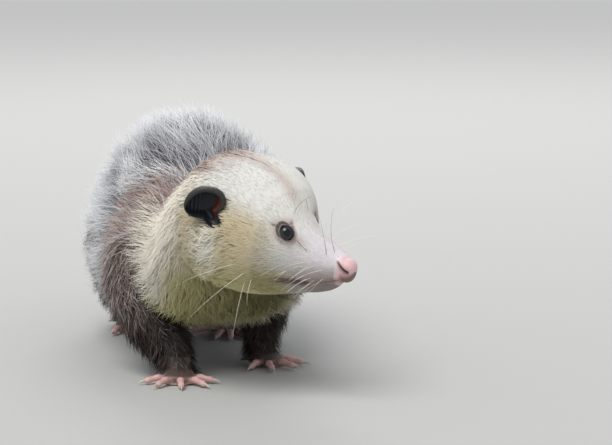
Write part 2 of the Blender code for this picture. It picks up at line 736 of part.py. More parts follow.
def lock(rows, surface, width, depth, grow=0.0):
    """Points and triangles of one flat, tapered lock with a ridge along its top.

    surface(place, rise, turn) is the point at a share of the lock's length and of the coat's depth,
    turned round the body by an angle.
    """
    place, wide, rise = np.asarray(rows).T
    step = 1e-3
    middle = surface(place, rise, 0.0)
    outward = unit(surface(place, rise + step, 0.0) - middle)
    onward = unit(surface(place + step, rise, 0.0) - surface(place - step, rise, 0.0))
    arm = np.linalg.norm(surface(place, rise, step) - surface(place, rise, -step), axis=1) / (2 * step)
    turn = (wide * width / 2 + grow) / arm
    thick = max(LOCK_THINNEST, LOCK_THICKNESS * depth) * (1 - LOCK_THINS * place)[:, None] + grow
    edges = np.stack(
        [surface(place, rise, -turn), surface(place, rise, turn), middle + outward * thick], axis=1
    )
    edges[:, :2] -= outward[:, None] * grow
    edges[0] -= onward[0] * grow
    tip = middle[-1] + onward[-1] * grow
    count = len(edges) - 1
    points = np.concatenate([edges[:-1].reshape(-1, 3), tip[None]])
    i, j = np.meshgrid(np.arange(count - 1), np.arange(3), indexing="ij")
    k = (j + 1) % 3
    a, b, c, d = (i * 3 + j, i * 3 + k, (i + 1) * 3 + k, (i + 1) * 3 + j)
    walls = np.concatenate([np.stack([a, b, c], -1).reshape(-1, 3), np.stack([a, c, d], -1).reshape(-1, 3)])
    j = np.arange(3)
    fan = np.stack([(count - 1) * 3 + j, (count - 1) * 3 + (j + 1) % 3, np.full(3, count * 3)], -1)
    faces = np.concatenate([walls, fan, [[2, 1, 0]]])
    inside_out = np.linalg.det(points[faces] - points.mean(axis=0)).sum() < 0
    return points, faces[:, ::-1] if inside_out else faces


def arm_at(surface, angle):
    """How far a point of a surface moves for each radian that it is turned round the body."""
    step = 1e-3
    ends = surface(np.array([angle - step, angle + step]))
    return float(np.linalg.norm(ends[1] - ends[0])) / (2 * step)


def tree_of(shape):
    """Search tree of a closed shape."""
    points, faces = shape
    return BVHTree.FromPolygons(points.tolist(), faces.tolist())


def solid_of(mesh):
    """Points and triangles of a mesh as it stands."""
    points = np.empty(len(mesh.vertices) * 3, np.float32)
    mesh.vertices.foreach_get("co", points)
    mesh.calc_loop_triangles()
    faces = np.empty(len(mesh.loop_triangles) * 3, np.int32)
    mesh.loop_triangles.foreach_get("vertices", faces)
    return points.reshape(-1, 3).astype(float), faces.reshape(-1, 3)


def add_locks(name, rows, candidates):
    """Fuses to a node each lock that can lie clear of every other node, shortened where that helps."""
    trees = [tree_of(solid_of(obj.data)) for obj in bpy.data.objects if obj.name != name]
    kept = []
    for surface_of, width, depth in candidates:
        for scale in LOCK_SCALES:
            surface = surface_of(scale)
            if surface is None:
                continue
            narrowed = width * scale**0.5
            room = lock(rows, surface, narrowed, depth, LOCK_CLEAR)
            if room[0][:, 2].min() > LOCK_CLEAR and not any(tree_of(room).overlap(tree) for tree in trees):
                kept.append(lock(rows, surface, narrowed, depth))
                break
    obj = bpy.data.objects[name]
    boolean(obj, kept, "UNION")
    finish(obj)


def body_locks(first, last, end, random):
    """Locks in tiers along a length of the torso, lying back and drooping down its sides."""
    found = []
    tiers = round((last - first) / BODY_STEP)
    round_body = np.linspace(0, 2 * math.pi, 97)
    for tier in range(tiers):
        start = first + (last - first) * tier / tiers
        ring = torso_surface(start, round_body, 0.5 * COAT)
        reach = np.concatenate([[0.0], np.cumsum(np.linalg.norm(np.diff(ring, axis=0), axis=1))])
        count = round(reach[-1] / BODY_WIDTH)
        for index in range(count):
            at = (index + 0.5 * (tier % 2) + random.uniform(-LOCK_STRAYS, LOCK_STRAYS)) / count % 1.0
            angle = float(np.interp(at * reach[-1], reach, round_body))
            vary = 1 + random.uniform(-LOCK_VARIES, LOCK_VARIES)
            sink = -math.cos(angle) * math.tan(DROOP) * (math.sin(angle) > UNDERSIDE)
            turn = (sink + random.uniform(-LOCK_BENDS, LOCK_BENDS)) / BODY_RADIUS
            wide = reach[-1] / count

            def surface_of(scale, start=start, angle=angle, vary=vary, turn=turn):
                long = min(BODY_LOCK * vary * scale, end - start)
                if long < SHORTEST_LOCK:
                    return None

                def surface(place, rise, side):
                    y = start + long * place
                    return torso_surface(y, angle + side + turn * long * place, rise * coat_depth(y))

                return surface

            found.append((surface_of, wide, float(coat_depth(start))))
    return found


def neck_and_back(share, angle, rise):
    """The neck, and past its end the torso, along one angle."""
    share, angle, rise = np.broadcast_arrays(np.asarray(share, float), angle, rise)
    past = torso_surface(np.maximum(share - 1, 0.0) * NECK_OVER, angle, rise * COAT)
    return np.where((share > 1)[..., None], past, neck_surface(np.minimum(share, 1.0), angle, rise))


def neck_locks(random):
    """Locks of the neck, lying from the head towards the shoulders and over them."""
    found = []
    slot = 2 * math.pi / NECK_LOCKS
    for tier, start in enumerate(NECK_TIERS):
        for index in range(NECK_LOCKS):
            angle = (index + 0.5 * (tier % 2) + random.uniform(-LOCK_STRAYS, LOCK_STRAYS)) * slot
            wide = slot * arm_at(lambda turn: neck_surface(start, turn, 0.5), angle)
            ends = neck_surface(np.array([0.0, 1.0]), angle, 0.5)
            whole = float(np.linalg.norm(ends[1] - ends[0]))
            vary = 1 + random.uniform(-LOCK_VARIES, LOCK_VARIES)
            bend = random.uniform(-LOCK_BENDS, LOCK_BENDS)

            def surface_of(scale, start=start, angle=angle, vary=vary, whole=whole, bend=bend):
                reach = max(NECK_REACH * vary, BODY_LOCK * vary / whole) * scale
                reach = min(reach, 1.0 + OVERHANG / NECK_OVER - start)
                if reach * whole < SHORTEST_LOCK:
                    return None

                def surface(place, rise, side):
                    return neck_and_back(start + reach * place, angle + side + bend * place, rise)

                return surface

            found.append((surface_of, wide, NECK_COAT + (COAT - NECK_COAT) * start))
    return found


def limb_locks(rows, tiers, around, share_reach, coat, random):
    """Locks of a leg or of the root of the tail, lying down towards its end."""
    found = []
    length = limb_length(rows)
    slot = 2 * math.pi / around
    for tier, start in enumerate(tiers):
        for index in range(around):
            angle = (index + 0.5 * (tier % 2) + random.uniform(-LOCK_STRAYS, LOCK_STRAYS)) * slot
            wide = slot * arm_at(lambda turn: limb_surface(rows, start, turn, coat / 2), angle)
            vary = 1 + random.uniform(-LOCK_VARIES, LOCK_VARIES)
            bend = random.uniform(-LOCK_BENDS, LOCK_BENDS)

            def surface_of(scale, start=start, angle=angle, vary=vary, bend=bend):
                reach = min(share_reach * vary * scale, LIMB_LAST - start)
                if reach * length < SHORTEST_LOCK:
                    return None

                def surface(place, rise, side):
                    share = start + reach * place
                    depth = coat * (1 - LEG_FADE * share) * rise
                    return limb_surface(rows, share, angle + side + bend * place, depth)

                return surface

            found.append((surface_of, wide, coat * (1 - LEG_FADE * start)))
    return found


def limb_length(rows):
    """Length of a leg or the tail along its rows."""
    return float(np.linalg.norm(np.diff(np.asarray(rows)[:, :3], axis=0), axis=1).sum())


def core_rows(rows):
    """The rows of a leg without its coat, which thins towards the foot."""
    rows = np.asarray(rows, float).copy()
    share = keyed_by_length(rows)[:, :1]
    rows[:, 3:] -= LEG_SUNK * (1 - LEG_FADE * share)
    return rows


def grow_coat():
    """The locks of every node that has long coat, from the body outwards."""
    random = np.random.default_rng(SEED)
    front = TORSO_ROWS[0][0]
    coat = body_locks(front + ROOT_CLEAR, TORSO_SPLIT, TORSO_SPLIT + OVERHANG, random)
    add_locks("torso_front", LOCK_ROWS, coat)
    coat = body_locks(TORSO_SPLIT + ROOT_CLEAR, TORSO_END - REAR_CLEAR, TORSO_END, random)
    add_locks("torso_rear", LOCK_ROWS, coat)
    add_locks("neck", LOCK_ROWS, neck_locks(random))
    for name, rows in LEGS:
        coat = limb_locks(core_rows(rows), LEG_TIERS, LEG_LOCKS, LEG_REACH, LEG_COAT, random)
        add_locks("leg_" + name, SHORT_LOCK_ROWS, coat)
    coat = limb_locks(TAIL_ROWS, TAIL_TIERS, TAIL_LOCKS, TAIL_REACH, TAIL_COAT, random)
    add_locks("tail_base", SHORT_LOCK_ROWS, coat)


def leg_shape(rows, grow=0.0):
    """The core of a leg, from inside the body to the top of its foot."""
    rows = core_rows(rows)
    share = np.linspace(0.0, 1.0, LEG_RINGS)[:, None]
    rings = limb_surface(rows, share, turns(LEG_SIDES)[None], grow)
    ends = unit(rings[[0, -1]].mean(axis=1) - rings[[1, -2]].mean(axis=1))
    rings[0] += ends[0] * grow
    rings[-1] += ends[1] * grow
    return loft(rings)


def build_foot(name, place, rows, digits, great_toe, leg_rows, side):
    """A foot: palm or sole, wrist, digits and claws, trimmed flat underneath. side mirrors it."""
    x, y, heading = place
    forward = np.array([math.sin(heading), -math.cos(heading), 0.0])
    left = np.array([math.cos(heading), math.sin(heading), 0.0]) * side
    up = np.array([0.0, 0.0, 1.0])
    origin = np.array([x, y, -SOLE_SUNK])

    def put(ahead, sideways, height):
        ahead, sideways, height = (np.asarray(v, float)[..., None] for v in (ahead, sideways, height))
        return origin + ahead * forward + sideways * left + height * up

    ahead, half, height = along_rows(rows, 6)
    angle = turns(PALM_SIDES)[None]
    c, s = rounded(angle, 2.4)
    level = height[:, None] * 0.40
    rise = np.where(s > 0, (height[:, None] - level) * s, level * s)
    pieces = [loft(put(ahead[:, None] + 0 * angle, half[:, None] * c, level + rise))]
    ankle = np.asarray(leg_rows[-1])
    wrist = np.array([ankle[:3] + (0, 0, WRIST_ABOVE), ankle[:3], origin + (0, 0, WRIST_END)])
    pieces.append(sweep(wrist, (1.0, 0.0, 0.0), ankle[3] - WRIST_SUNK, ankle[4] - WRIST_SUNK, 10))
    toes = [(*digit, True) for digit in digits]
    if great_toe:
        toes.append((*great_toe, False))
    for at, sideways, turn, length, thick, thin, claw in toes:
        way = forward * math.cos(turn) + left * math.sin(turn)
        share = np.linspace(0.0, 1.0, 4)
        radius = thick + (thin - thick) * share
        radius[-1] *= TOE_BLUNT
        arch = DIGIT_ARCH * np.sin(share * math.pi)
        start = put(at, sideways, 0.0)
        path = start + (share * length)[:, None] * way + (radius[:, None] * 0.95 + arch[:, None]) * up
        path[0, 2] += KNUCKLE_RISE
        across = np.cross(up, way)
        pieces.append(sweep(path, across, radius, radius, DIGIT_SIDES))
        if claw:
            share = np.linspace(0.0, 1.0, 3)
            reach = (length - CLAW_ROOT) + share * (CLAW_LENGTH + CLAW_ROOT)
            drop = CLAW_HEIGHT - CLAW_DROP * share**1.6
            nail = start + reach[:, None] * way + drop[:, None] * up
            size = CLAW_RADIUS + (CLAW_TIP - CLAW_RADIUS) * share
            pieces.append(sweep(nail, across, size, size, 4))
    node(name, TOE_PINK, pieces, [leg_shape(leg_rows, GAP), floor()])


def along_rows(rows, count):
    """The columns of rows read at even steps of their first column."""
    rows = np.asarray(rows, float)
    at = np.linspace(rows[0, 0], rows[-1, 0], count)
    return (at, *np.moveaxis(through(rows, at), -1, 0))


def build_torso_and_neck():
    """The torso in two lengths and the neck, with planes between them."""
    front = TORSO_ROWS[0][0]
    node("torso_front", GREY_COAT, [torso_shape(front, TORSO_SPLIT - GAP / 2)])
    node("torso_rear", GREY_COAT, [torso_shape(TORSO_SPLIT + GAP / 2, TORSO_END)])
    near = [head_shape(GAP), torso_shape(front, TORSO_SPLIT, grow=GAP)]
    node("neck", CREAM_COAT, [neck_shape()], near)


def build_ears():
    """Both ears, cut clear of the head and the neck."""
    near = [head_shape(GAP), neck_shape(GAP)]
    for side, name in ((1, "ear_left"), (-1, "ear_right")):
        node(name, EAR_BLACK, [ear_shape(side)], near)


def build_legs_and_feet():
    """Four legs cut clear of the body, and four feet cut clear of the legs."""
    front = TORSO_ROWS[0][0]
    body = [
        torso_shape(front, TORSO_SPLIT, grow=GAP),
        torso_shape(TORSO_SPLIT, TORSO_END, grow=GAP),
        neck_shape(GAP),
    ]
    fore = (PALM_ROWS, FRONT_DIGITS, None)
    hind = (SOLE_ROWS, HIND_DIGITS, GREAT_TOE)
    feet = (
        (FRONT_RIGHT_FOOT, fore, 1),
        (FRONT_LEFT_FOOT, fore, -1),
        (HIND_RIGHT_FOOT, hind, 1),
        (HIND_LEFT_FOOT, hind, -1),
    )
    for (name, leg), (place, kind, side) in zip(LEGS, feet):
        node("leg_" + name, BROWN_COAT, [leg_shape(leg)], body)
        build_foot("foot_" + name, place, *kind, leg, side)


def build_tail():
    """Tail in three lengths, laid on the floor behind the body."""
    length = tail_length()
    for name, first, last in TAIL_PARTS:
        pad = GAP / 2 / length
        start = first + pad if first > 0 else first
        end = last - pad if last < 1 else last
        rows = along(TAIL_ROWS, TAIL_RINGS, start, end)
        path = rows[:, :3]
        whole = along(TAIL_ROWS, 400)[:, :3]
        tangent = unit(np.gradient(whole, axis=0))
        at = np.linspace(first, last, TAIL_RINGS)
        way = unit(np.stack([np.interp(at, np.linspace(0, 1, 400), tangent[:, k]) for k in range(3)], axis=1))
        if first == 0.0:
            way[0] = (0.0, 1.0, 0.0)
        side = unit(np.cross(way, (0.0, 0.0, 1.0)))
        other = np.cross(side, way)
        angle = turns(TAIL_SIDES)[None, :, None]
        rings = path[:, None] + rows[:, 3][:, None, None] * (
            np.cos(angle) * side[:, None] + np.sin(angle) * other[:, None]
        )
        node(name, TAIL_SKIN, [loft(rings)], [floor()])


def tail_length():
    """Length of the tail along its middle line."""
    path = along(TAIL_ROWS, 400)[:, :3]
    return float(np.linalg.norm(np.diff(path, axis=0), axis=1).sum())


def centre_on_floor():
    """Moves every mesh so that the origin is the centre of the whole part's floor rectangle."""
    meshes = [obj.data for obj in bpy.data.objects if obj.type == "MESH"]
    clouds = []
    for mesh in meshes:
        points = np.empty(len(mesh.vertices) * 3, np.float32)
        mesh.vertices.foreach_get("co", points)
        clouds.append(points.reshape(-1, 3))
    every = np.concatenate(clouds)
    middle = (every.min(axis=0) + every.max(axis=0)) / 2
    middle[2] = 0.0
    for mesh, points in zip(meshes, clouds):
        mesh.vertices.foreach_set("co", (points - middle).ravel())
        mesh.update()


def main():
    for obj in list(bpy.data.objects):
        bpy.data.objects.remove(obj)
    build_head()
    build_nose()
    build_ears()
    build_torso_and_neck()
    build_legs_and_feet()
    build_tail()
    grow_coat()
    centre_on_floor()


main()
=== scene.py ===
"""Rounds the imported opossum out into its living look: skin, coat, eyes, ears, feet, tail and whiskers.

The body is described round a working origin on the floor between the front feet: the animal faces -Y, its
left is +X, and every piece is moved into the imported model's frame at the end. Metres, +Z up.
"""

import math

import bpy
import numpy as np
from mathutils import Matrix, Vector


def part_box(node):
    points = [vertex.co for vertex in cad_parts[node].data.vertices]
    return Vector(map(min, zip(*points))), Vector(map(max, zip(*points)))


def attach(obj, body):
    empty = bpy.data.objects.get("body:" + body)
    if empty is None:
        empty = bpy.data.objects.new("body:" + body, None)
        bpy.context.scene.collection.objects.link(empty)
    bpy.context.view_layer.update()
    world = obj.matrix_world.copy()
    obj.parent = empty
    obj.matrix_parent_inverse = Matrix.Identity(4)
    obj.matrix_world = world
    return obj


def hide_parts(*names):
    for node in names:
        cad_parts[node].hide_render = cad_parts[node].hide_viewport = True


HEAD_YAW = math.radians(42.0)
HEAD_PITCH = math.radians(-12.5)
HEAD_ROLL = math.radians(7.0)
NOSE_TIP = np.array([0.0712, -0.1330, 0.1000])
# Distance behind the nose tip, half width, top, level of the widest line, bottom: the tips of the face's fur.
HEAD_ROWS = (
    (0.0080, 0.0071, 0.0058, -0.0010, -0.0128),
    (0.0150, 0.0098, 0.0089, -0.0030, -0.0200),
    (0.0270, 0.0135, 0.0133, -0.0050, -0.0268),
    (0.0400, 0.0169, 0.0181, -0.0060, -0.0314),
    (0.0520, 0.0262, 0.0275, -0.0055, -0.0360),
    (0.0650, 0.0402, 0.0420, -0.0045, -0.0403),
    (0.0800, 0.0492, 0.0510, -0.0030, -0.0427),
    (0.0960, 0.0510, 0.0540, -0.0020, -0.0426),
    (0.1100, 0.0505, 0.0540, -0.0010, -0.0411),
    (0.1220, 0.0490, 0.0525, 0.0000, -0.0390),
)
HEAD_ROUND = (2.44, 2.2)
HEAD_BACK = 0.1220
NOSE_PLANE = 0.0080
# Level of the head's own axis over the nose tip's.
HEAD_AXIS = -0.0020
# Distance behind the front feet, half width, bottom, level of the widest line, top: the coat's mean line.
TORSO_ROWS = (
    (0.0000, 0.0665, 0.0380, 0.0790, 0.1555),
    (0.0400, 0.0755, 0.0320, 0.0755, 0.1655),
    (0.0900, 0.0825, 0.0260, 0.0700, 0.1760),
    (0.1350, 0.0815, 0.0220, 0.0660, 0.1815),
    (0.1800, 0.0765, 0.0240, 0.0665, 0.1795),
    (0.2200, 0.0715, 0.0320, 0.0710, 0.1705),
    (0.2500, 0.0560, 0.0485, 0.0780, 0.1538),
    (0.2720, 0.0360, 0.0700, 0.0930, 0.1342),
    (0.2840, 0.0205, 0.0870, 0.1040, 0.1210),
)
TORSO_ROUND = (2.1, 2.5)
TORSO_END = 0.2840
# Least slope of the neck where it leaves the head and the torso, as a share of its length.
NECK_PULL = 0.15


def cubic(u, start, leave, end, arrive):
    """Cubic from start to end as u goes from 0 to 1, with the slopes leave and arrive at its ends."""
    return (
        (2 * u**3 - 3 * u**2 + 1) * start
        + (u**3 - 2 * u**2 + u) * leave
        + (3 * u**2 - 2 * u**3) * end
        + (u**3 - u**2) * arrive
    )


def through(rows, at):
    """A smooth curve through rows of (parameter, values...), read at an array of parameters.

    Between two rows each value follows a cubic whose slopes at the rows are the rows' mean slopes.
    """
    rows = np.asarray(rows, float)
    x, y = rows[:, 0], rows[:, 1:]
    slope = np.gradient(y, x, axis=0)
    at = np.clip(np.asarray(at, float), x[0], x[-1])
    i = np.clip(np.searchsorted(x, at, side="right") - 1, 0, len(x) - 2)
    step = (x[i + 1] - x[i])[..., None]
    return cubic((at - x[i])[..., None] / step, y[i], step * slope[i], y[i + 1], step * slope[i + 1])


def unit(vector):
    """The same vectors at length one."""
    return vector / np.maximum(np.linalg.norm(vector, axis=-1, keepdims=True), 1e-12)


def ramp(value, low, high):
    """0 below low, 1 above high and a smooth step between them."""
    t = np.clip((np.asarray(value, float) - low) / (high - low), 0.0, 1.0)
    return t * t * (3 - 2 * t)


def bell(value, centre, width):
    """1 at the centre, falling off as the exponential of minus the squared distance in widths."""
    return np.exp(-(((np.asarray(value, float) - centre) / width) ** 2))


def whole_turn(count):
    """Evenly spaced angles of a whole turn, the last a step short of the first."""
    return np.linspace(0, 2 * math.pi, count, endpoint=False)


def rounded(angle, power):
    """The two parts of a superellipse: cosine and sine raised to 2 / power, with their signs kept."""
    c, s = np.cos(angle), np.sin(angle)
    return np.sign(c) * np.abs(c) ** (2 / power), np.sign(s) * np.abs(s) ** (2 / power)


def head_axes():
    """Forward, left and up of the head as the columns of a matrix."""
    forward = np.array(
        [
            math.sin(HEAD_YAW) * math.cos(HEAD_PITCH),
            -math.cos(HEAD_YAW) * math.cos(HEAD_PITCH),
            math.sin(HEAD_PITCH),
        ]
    )
    level = np.array([math.cos(HEAD_YAW), math.sin(HEAD_YAW), 0.0])
    rise = np.cross(forward, level)
    left = level * math.cos(HEAD_ROLL) + rise * math.sin(HEAD_ROLL)
    return np.stack([forward, left, np.cross(forward, left)], axis=1)


AXES = head_axes()


def in_head(forward, left, up):
    """Points given from the nose tip in the head's own directions, in the body's frame."""
    return NOSE_TIP + np.stack(np.broadcast_arrays(forward, left, up), axis=-1) @ AXES.T


def oval(rows, power, at, angle, grow):
    """Across and up of a ring: half width times a superellipse's cosine, level plus height times its sine."""
    half, edge, level, other_edge = np.moveaxis(through(rows, at), -1, 0)
    top, low = np.maximum(edge, other_edge), np.minimum(edge, other_edge)
    cu, su = rounded(angle, power[0])
    cl, sl = rounded(angle, power[1])
    upper = np.sin(angle) >= 0
    across = (half + grow) * np.where(upper, cu, cl)
    return across, level + np.where(upper, (top - level + grow) * su, (level - low + grow) * sl)


def head_surface(back, angle, grow=0.0):
    """Point of the head behind the nose tip at an angle round its axis, from the left up.

    In front of the nose's plane a ring shrinks to the tip by the root of 1 minus the share to the power 2.4.
    """
    back, angle, grow = np.broadcast_arrays(np.asarray(back, float), angle, grow)
    share = np.clip(1 - back / NOSE_PLANE, 0.0, 1.0)
    size = np.sqrt(np.maximum(1 - share**2.4, 0.0))
    across, up = oval(HEAD_ROWS, HEAD_ROUND, np.maximum(back, NOSE_PLANE), angle, grow)
    return in_head(-back, across * size, HEAD_AXIS + (up - HEAD_AXIS) * size)


def torso_surface(y, angle, grow=0.0):
    """Point of the torso at a place along the body and an angle round it, from the left up."""
    y, angle, grow = np.broadcast_arrays(np.asarray(y, float), angle, grow)
    x, z = oval(TORSO_ROWS, TORSO_ROUND, y, angle, grow)
    return np.stack([x, y, z], axis=-1)


def neck_surface(share, angle, grow_head, grow_torso):
    """Neck from the head's back (share 0) to the torso's front (share 1), a cubic along each angle.

    Its slopes point straight out of the head and the torso, as long as the neck's own reach that way.
    """
    start = head_surface(HEAD_BACK, angle, grow_head)
    end = torso_surface(0.0, angle, grow_torso)
    reach = np.linalg.norm(end - start, axis=-1, keepdims=True)
    leave, arrive = (
        way * np.clip((end - start) @ way[:, None], NECK_PULL * reach, reach)
        for way in (-AXES[:, 0], np.array([0.0, 1.0, 0.0]))
    )
    return cubic(np.asarray(share, float)[..., None], start, leave, end, arrive)


# Depth of the coat along the body tube, from place 0 at the nose over 1 at the back of the head and 2 at the
# shoulders to 3 at the root of the tail.
COAT_ROWS = (
    (0.00, 0.0003),
    (0.10, 0.0006),
    (0.25, 0.0011),
    (0.42, 0.0018),
    (0.60, 0.0034),
    (0.80, 0.0060),
    (1.00, 0.0095),
    (1.50, 0.0150),
    (2.00, 0.0200),
    (2.60, 0.0210),
    (2.85, 0.0140),
    (3.00, 0.0050),
)


def coat_depth(s):
    """How far the skin lies under the mean line of the coat."""
    return through(COAT_ROWS, s)[..., 0]


def tube(s, angle, height):
    """Point of the head (s 0 to 1), the neck (1 to 2) and the torso (2 to 3) at a height over the skin."""
    s, angle, height = np.broadcast_arrays(np.asarray(s, float), angle, height)
    s = np.clip(s, 0.0, 3.0)
    grow = height - coat_depth(s) + relief(s, angle)
    at_head = height - coat_depth(1.0) + relief(1.0, angle)
    at_torso = height - coat_depth(2.0)
    out = np.empty(s.shape + (3,))
    head, torso = s <= 1, s >= 2
    neck = ~(head | torso)
    out[head] = head_surface(s[head] * HEAD_BACK, angle[head], grow[head])
    out[neck] = neck_surface(s[neck] - 1, angle[neck], at_head[neck], at_torso[neck])
    out[torso] = torso_surface((s[torso] - 2) * TORSO_END, angle[torso], grow[torso])
    return out


def mirrored(angle):
    """The same angle on the left side: 90 degrees is the top, 0 the side and -90 the bottom."""
    return np.arcsin(np.clip(np.sin(angle), -1.0, 1.0))


def side_degrees(angle):
    """The mirrored angle in degrees."""
    return np.degrees(mirrored(angle))


def padding(s, angle):
    """Height of the forehead's and the crown's skin, where the fur lies flat, over the plain skin.

    It is half the coat's depth there, and fades out down the sides, on the snout and on the neck.
    """
    on_top = ramp(s, 0.30, 0.50) * (1 - ramp(s, 0.95, 1.15))
    return 0.5 * coat_depth(s) * on_top * ramp(side_degrees(angle), 15, 48)


# Line of the mouth: distance behind the nose tip and height. Behind its end it is read at its end.
MOUTH_ROWS = ((0.0060, -0.0098), (0.0120, -0.0120), (0.0200, -0.0155), (0.0360, -0.0190), (0.0530, -0.0200))
MOUTH_END = 0.06
# The face's forms: height, place behind the nose tip and its width, side angle in degrees and its width in
# radians.
FACE_FORMS = (
    (0.0012, 0.0560, 0.0080, 66, 0.32),  # brow
    (-0.0012, 0.0400, 0.0080, 22, 0.40),  # hollow in front of the eye
    (0.0015, 0.0830, 0.0180, -28, 0.50),  # cheek
    (-0.0010, 0.0500, 0.0200, 90, 0.22),  # furrow between the eyes
)


def mouth_offset(back, angle):
    """Distance over the line of the mouth, measured round the head."""
    back = np.minimum(back, MOUTH_END)
    height = through(MOUTH_ROWS, back)[..., 0]
    half, _, level, low = np.moveaxis(through(HEAD_ROWS, np.maximum(back, NOSE_PLANE)), -1, 0)
    drop = np.clip((level - height) / (level - low), 0.0, 1.0)
    line = -np.arcsin(drop ** (HEAD_ROUND[1] / 2))
    return (mirrored(angle) - line) * (half + level - low) / 2


def mouth_window(back):
    """1 where the mouth is, 0 in front of its start and behind its corner."""
    return ramp(back, 0.0075, 0.0105) * (1 - ramp(back, 0.0480, 0.0545))


def relief(s, angle):
    """Height of the face's own forms over the plain head: the lips, the line between them and FACE_FORMS."""
    s, angle = np.broadcast_arrays(np.asarray(s, float), angle)
    back = s * HEAD_BACK
    side = mirrored(angle)
    over = mouth_offset(back, angle)
    window = mouth_window(back)
    form = -0.0017 * bell(over, 0.0, 0.00075) * window
    form += 0.0009 * bell(over, 0.0028, 0.0020) * window + 0.0006 * bell(over, -0.0024, 0.0015) * window
    for height, place, long, turn, wide in FACE_FORMS:
        form += height * bell(back, place, long) * bell(side, math.radians(turn), wide)
    return np.where(s < 1, form * (1 - ramp(s, 0.85, 1.0)), 0.0)


# Eye: where it sits on the head, its radius, how far its centre is sunk and how much more the left's is, then
# its lids' half opening, the droop of their inner corner, their thickness and their edge.
EYE_BACK = 0.0490
EYE_ANGLE = math.radians(41.0)
EYE_RADIUS = 0.0062
EYE_SUNK = 0.0030
LEFT_EYE_SUNK = 0.0038
LID_OPEN = (0.0054, 0.0047)
LID_DROOP = 0.16
LID_TUBE = 0.0006
LID_EDGE = 0.0050
# Skin round an eye: how far from the eye's axis and how far behind its centre it is still shaped by the lids.
EYE_PATCH = (0.013, 0.004)
SIDES = ((1, "left"), (-1, "right"))


def eye_place(side):
    """Centre of an eyeball, the way it looks, and the directions along and across its lids."""
    angle = EYE_ANGLE if side > 0 else math.pi - EYE_ANGLE
    sunk = EYE_SUNK + (LEFT_EYE_SUNK if side > 0 else 0.0)
    step = 1e-4
    here = head_surface(EYE_BACK, angle)
    by_back = head_surface(EYE_BACK + step, angle) - here
    by_angle = head_surface(EYE_BACK, angle + step) - here
    outward = unit(np.cross(by_back, by_angle))
    if outward @ (here - in_head(-EYE_BACK, 0.0, 0.0)) < 0:
        outward = -outward
    forward = AXES[:, 0]
    long = unit(forward - (forward @ outward) * outward)
    up = np.cross(outward, long)
    up = up if up[2] > 0 else -up
    return here - outward * sunk, outward, long, up


EYES = {side: eye_place(side) for side, _ in SIDES}


def eye_offset(points, side):
    """Position of points round an eye: along and across the lids, and out from its centre."""
    centre, outward, long, up = EYES[side]
    away = points - centre
    return away @ long, away @ up, away @ outward


def lid_reach(along, across):
    """How far a point is from the eye's middle, as a share of the lids' opening in that direction.

    The inner corner is drawn out forward and down.
    """
    droop = across + LID_DROOP * along
    return np.sqrt((along / LID_OPEN[0]) ** 2 + (droop / LID_OPEN[1]) ** 2)


def eye_patch(along, across, out):
    """Whether a point belongs to the skin that the lids shape."""
    return (np.hypot(along, across) < EYE_PATCH[0]) & (out > -EYE_PATCH[1])


def lid_rise(points, side):
    """How much the skin is raised or let down round an eye to meet its lids."""
    along, across, out = eye_offset(points, side)
    edge = math.sqrt(EYE_RADIUS**2 - LID_EDGE**2)
    swell = (edge + 0.0005 - out) * bell(lid_reach(along, across), 1.0, 0.45)
    return np.where(eye_patch(along, across, out), swell, 0.0)


# Legs: centre, half width across the body and half width along it, from inside the body to the foot, out to
# the coat.
LEGS = {
    "front_right": (
        (-0.0500, 0.0480, 0.1050, 0.0230, 0.0270),
        (-0.0580, 0.0450, 0.0800, 0.0270, 0.0300),
        (-0.0560, 0.0370, 0.0580, 0.0270, 0.0270),
        (-0.0480, 0.0230, 0.0390, 0.0230, 0.0220),
        (-0.0400, 0.0080, 0.0240, 0.0170, 0.0160),
        (-0.0350, -0.0040, 0.0130, 0.0120, 0.0115),
        (-0.0345, -0.0065, 0.0040, 0.0115, 0.0115),
    ),
    "front_left": (
        (0.0470, 0.0680, 0.1050, 0.0230, 0.0270),
        (0.0500, 0.0690, 0.0800, 0.0250, 0.0290),
        (0.0460, 0.0680, 0.0580, 0.0215, 0.0250),
        (0.0410, 0.0620, 0.0390, 0.0180, 0.0190),
        (0.0380, 0.0550, 0.0250, 0.0140, 0.0145),
        (0.0365, 0.0490, 0.0130, 0.0110, 0.0110),
        (0.0365, 0.0475, 0.0040, 0.0108, 0.0110),
    ),
    "hind_right": (
        (-0.0400, 0.2300, 0.1080, 0.0240, 0.0300),
        (-0.0480, 0.2080, 0.0850, 0.0270, 0.0370),
        (-0.0530, 0.1940, 0.0620, 0.0240, 0.0320),
        (-0.0500, 0.2080, 0.0420, 0.0185, 0.0220),
        (-0.0440, 0.2290, 0.0260, 0.0135, 0.0150),
        (-0.0400, 0.2380, 0.0130, 0.0105, 0.0115),
        (-0.0400, 0.2360, 0.0040, 0.0105, 0.0115),
    ),
    "hind_left": (
        (0.0400, 0.2260, 0.1080, 0.0240, 0.0300),
        (0.0500, 0.2010, 0.0850, 0.0270, 0.0370),
        (0.0530, 0.1840, 0.0620, 0.0240, 0.0320),
        (0.0460, 0.1900, 0.0420, 0.0185, 0.0220),
        (0.0360, 0.2010, 0.0260, 0.0135, 0.0150),
        (0.0310, 0.2070, 0.0130, 0.0105, 0.0115),
        (0.0310, 0.2050, 0.0040, 0.0105, 0.0115),
    ),
}
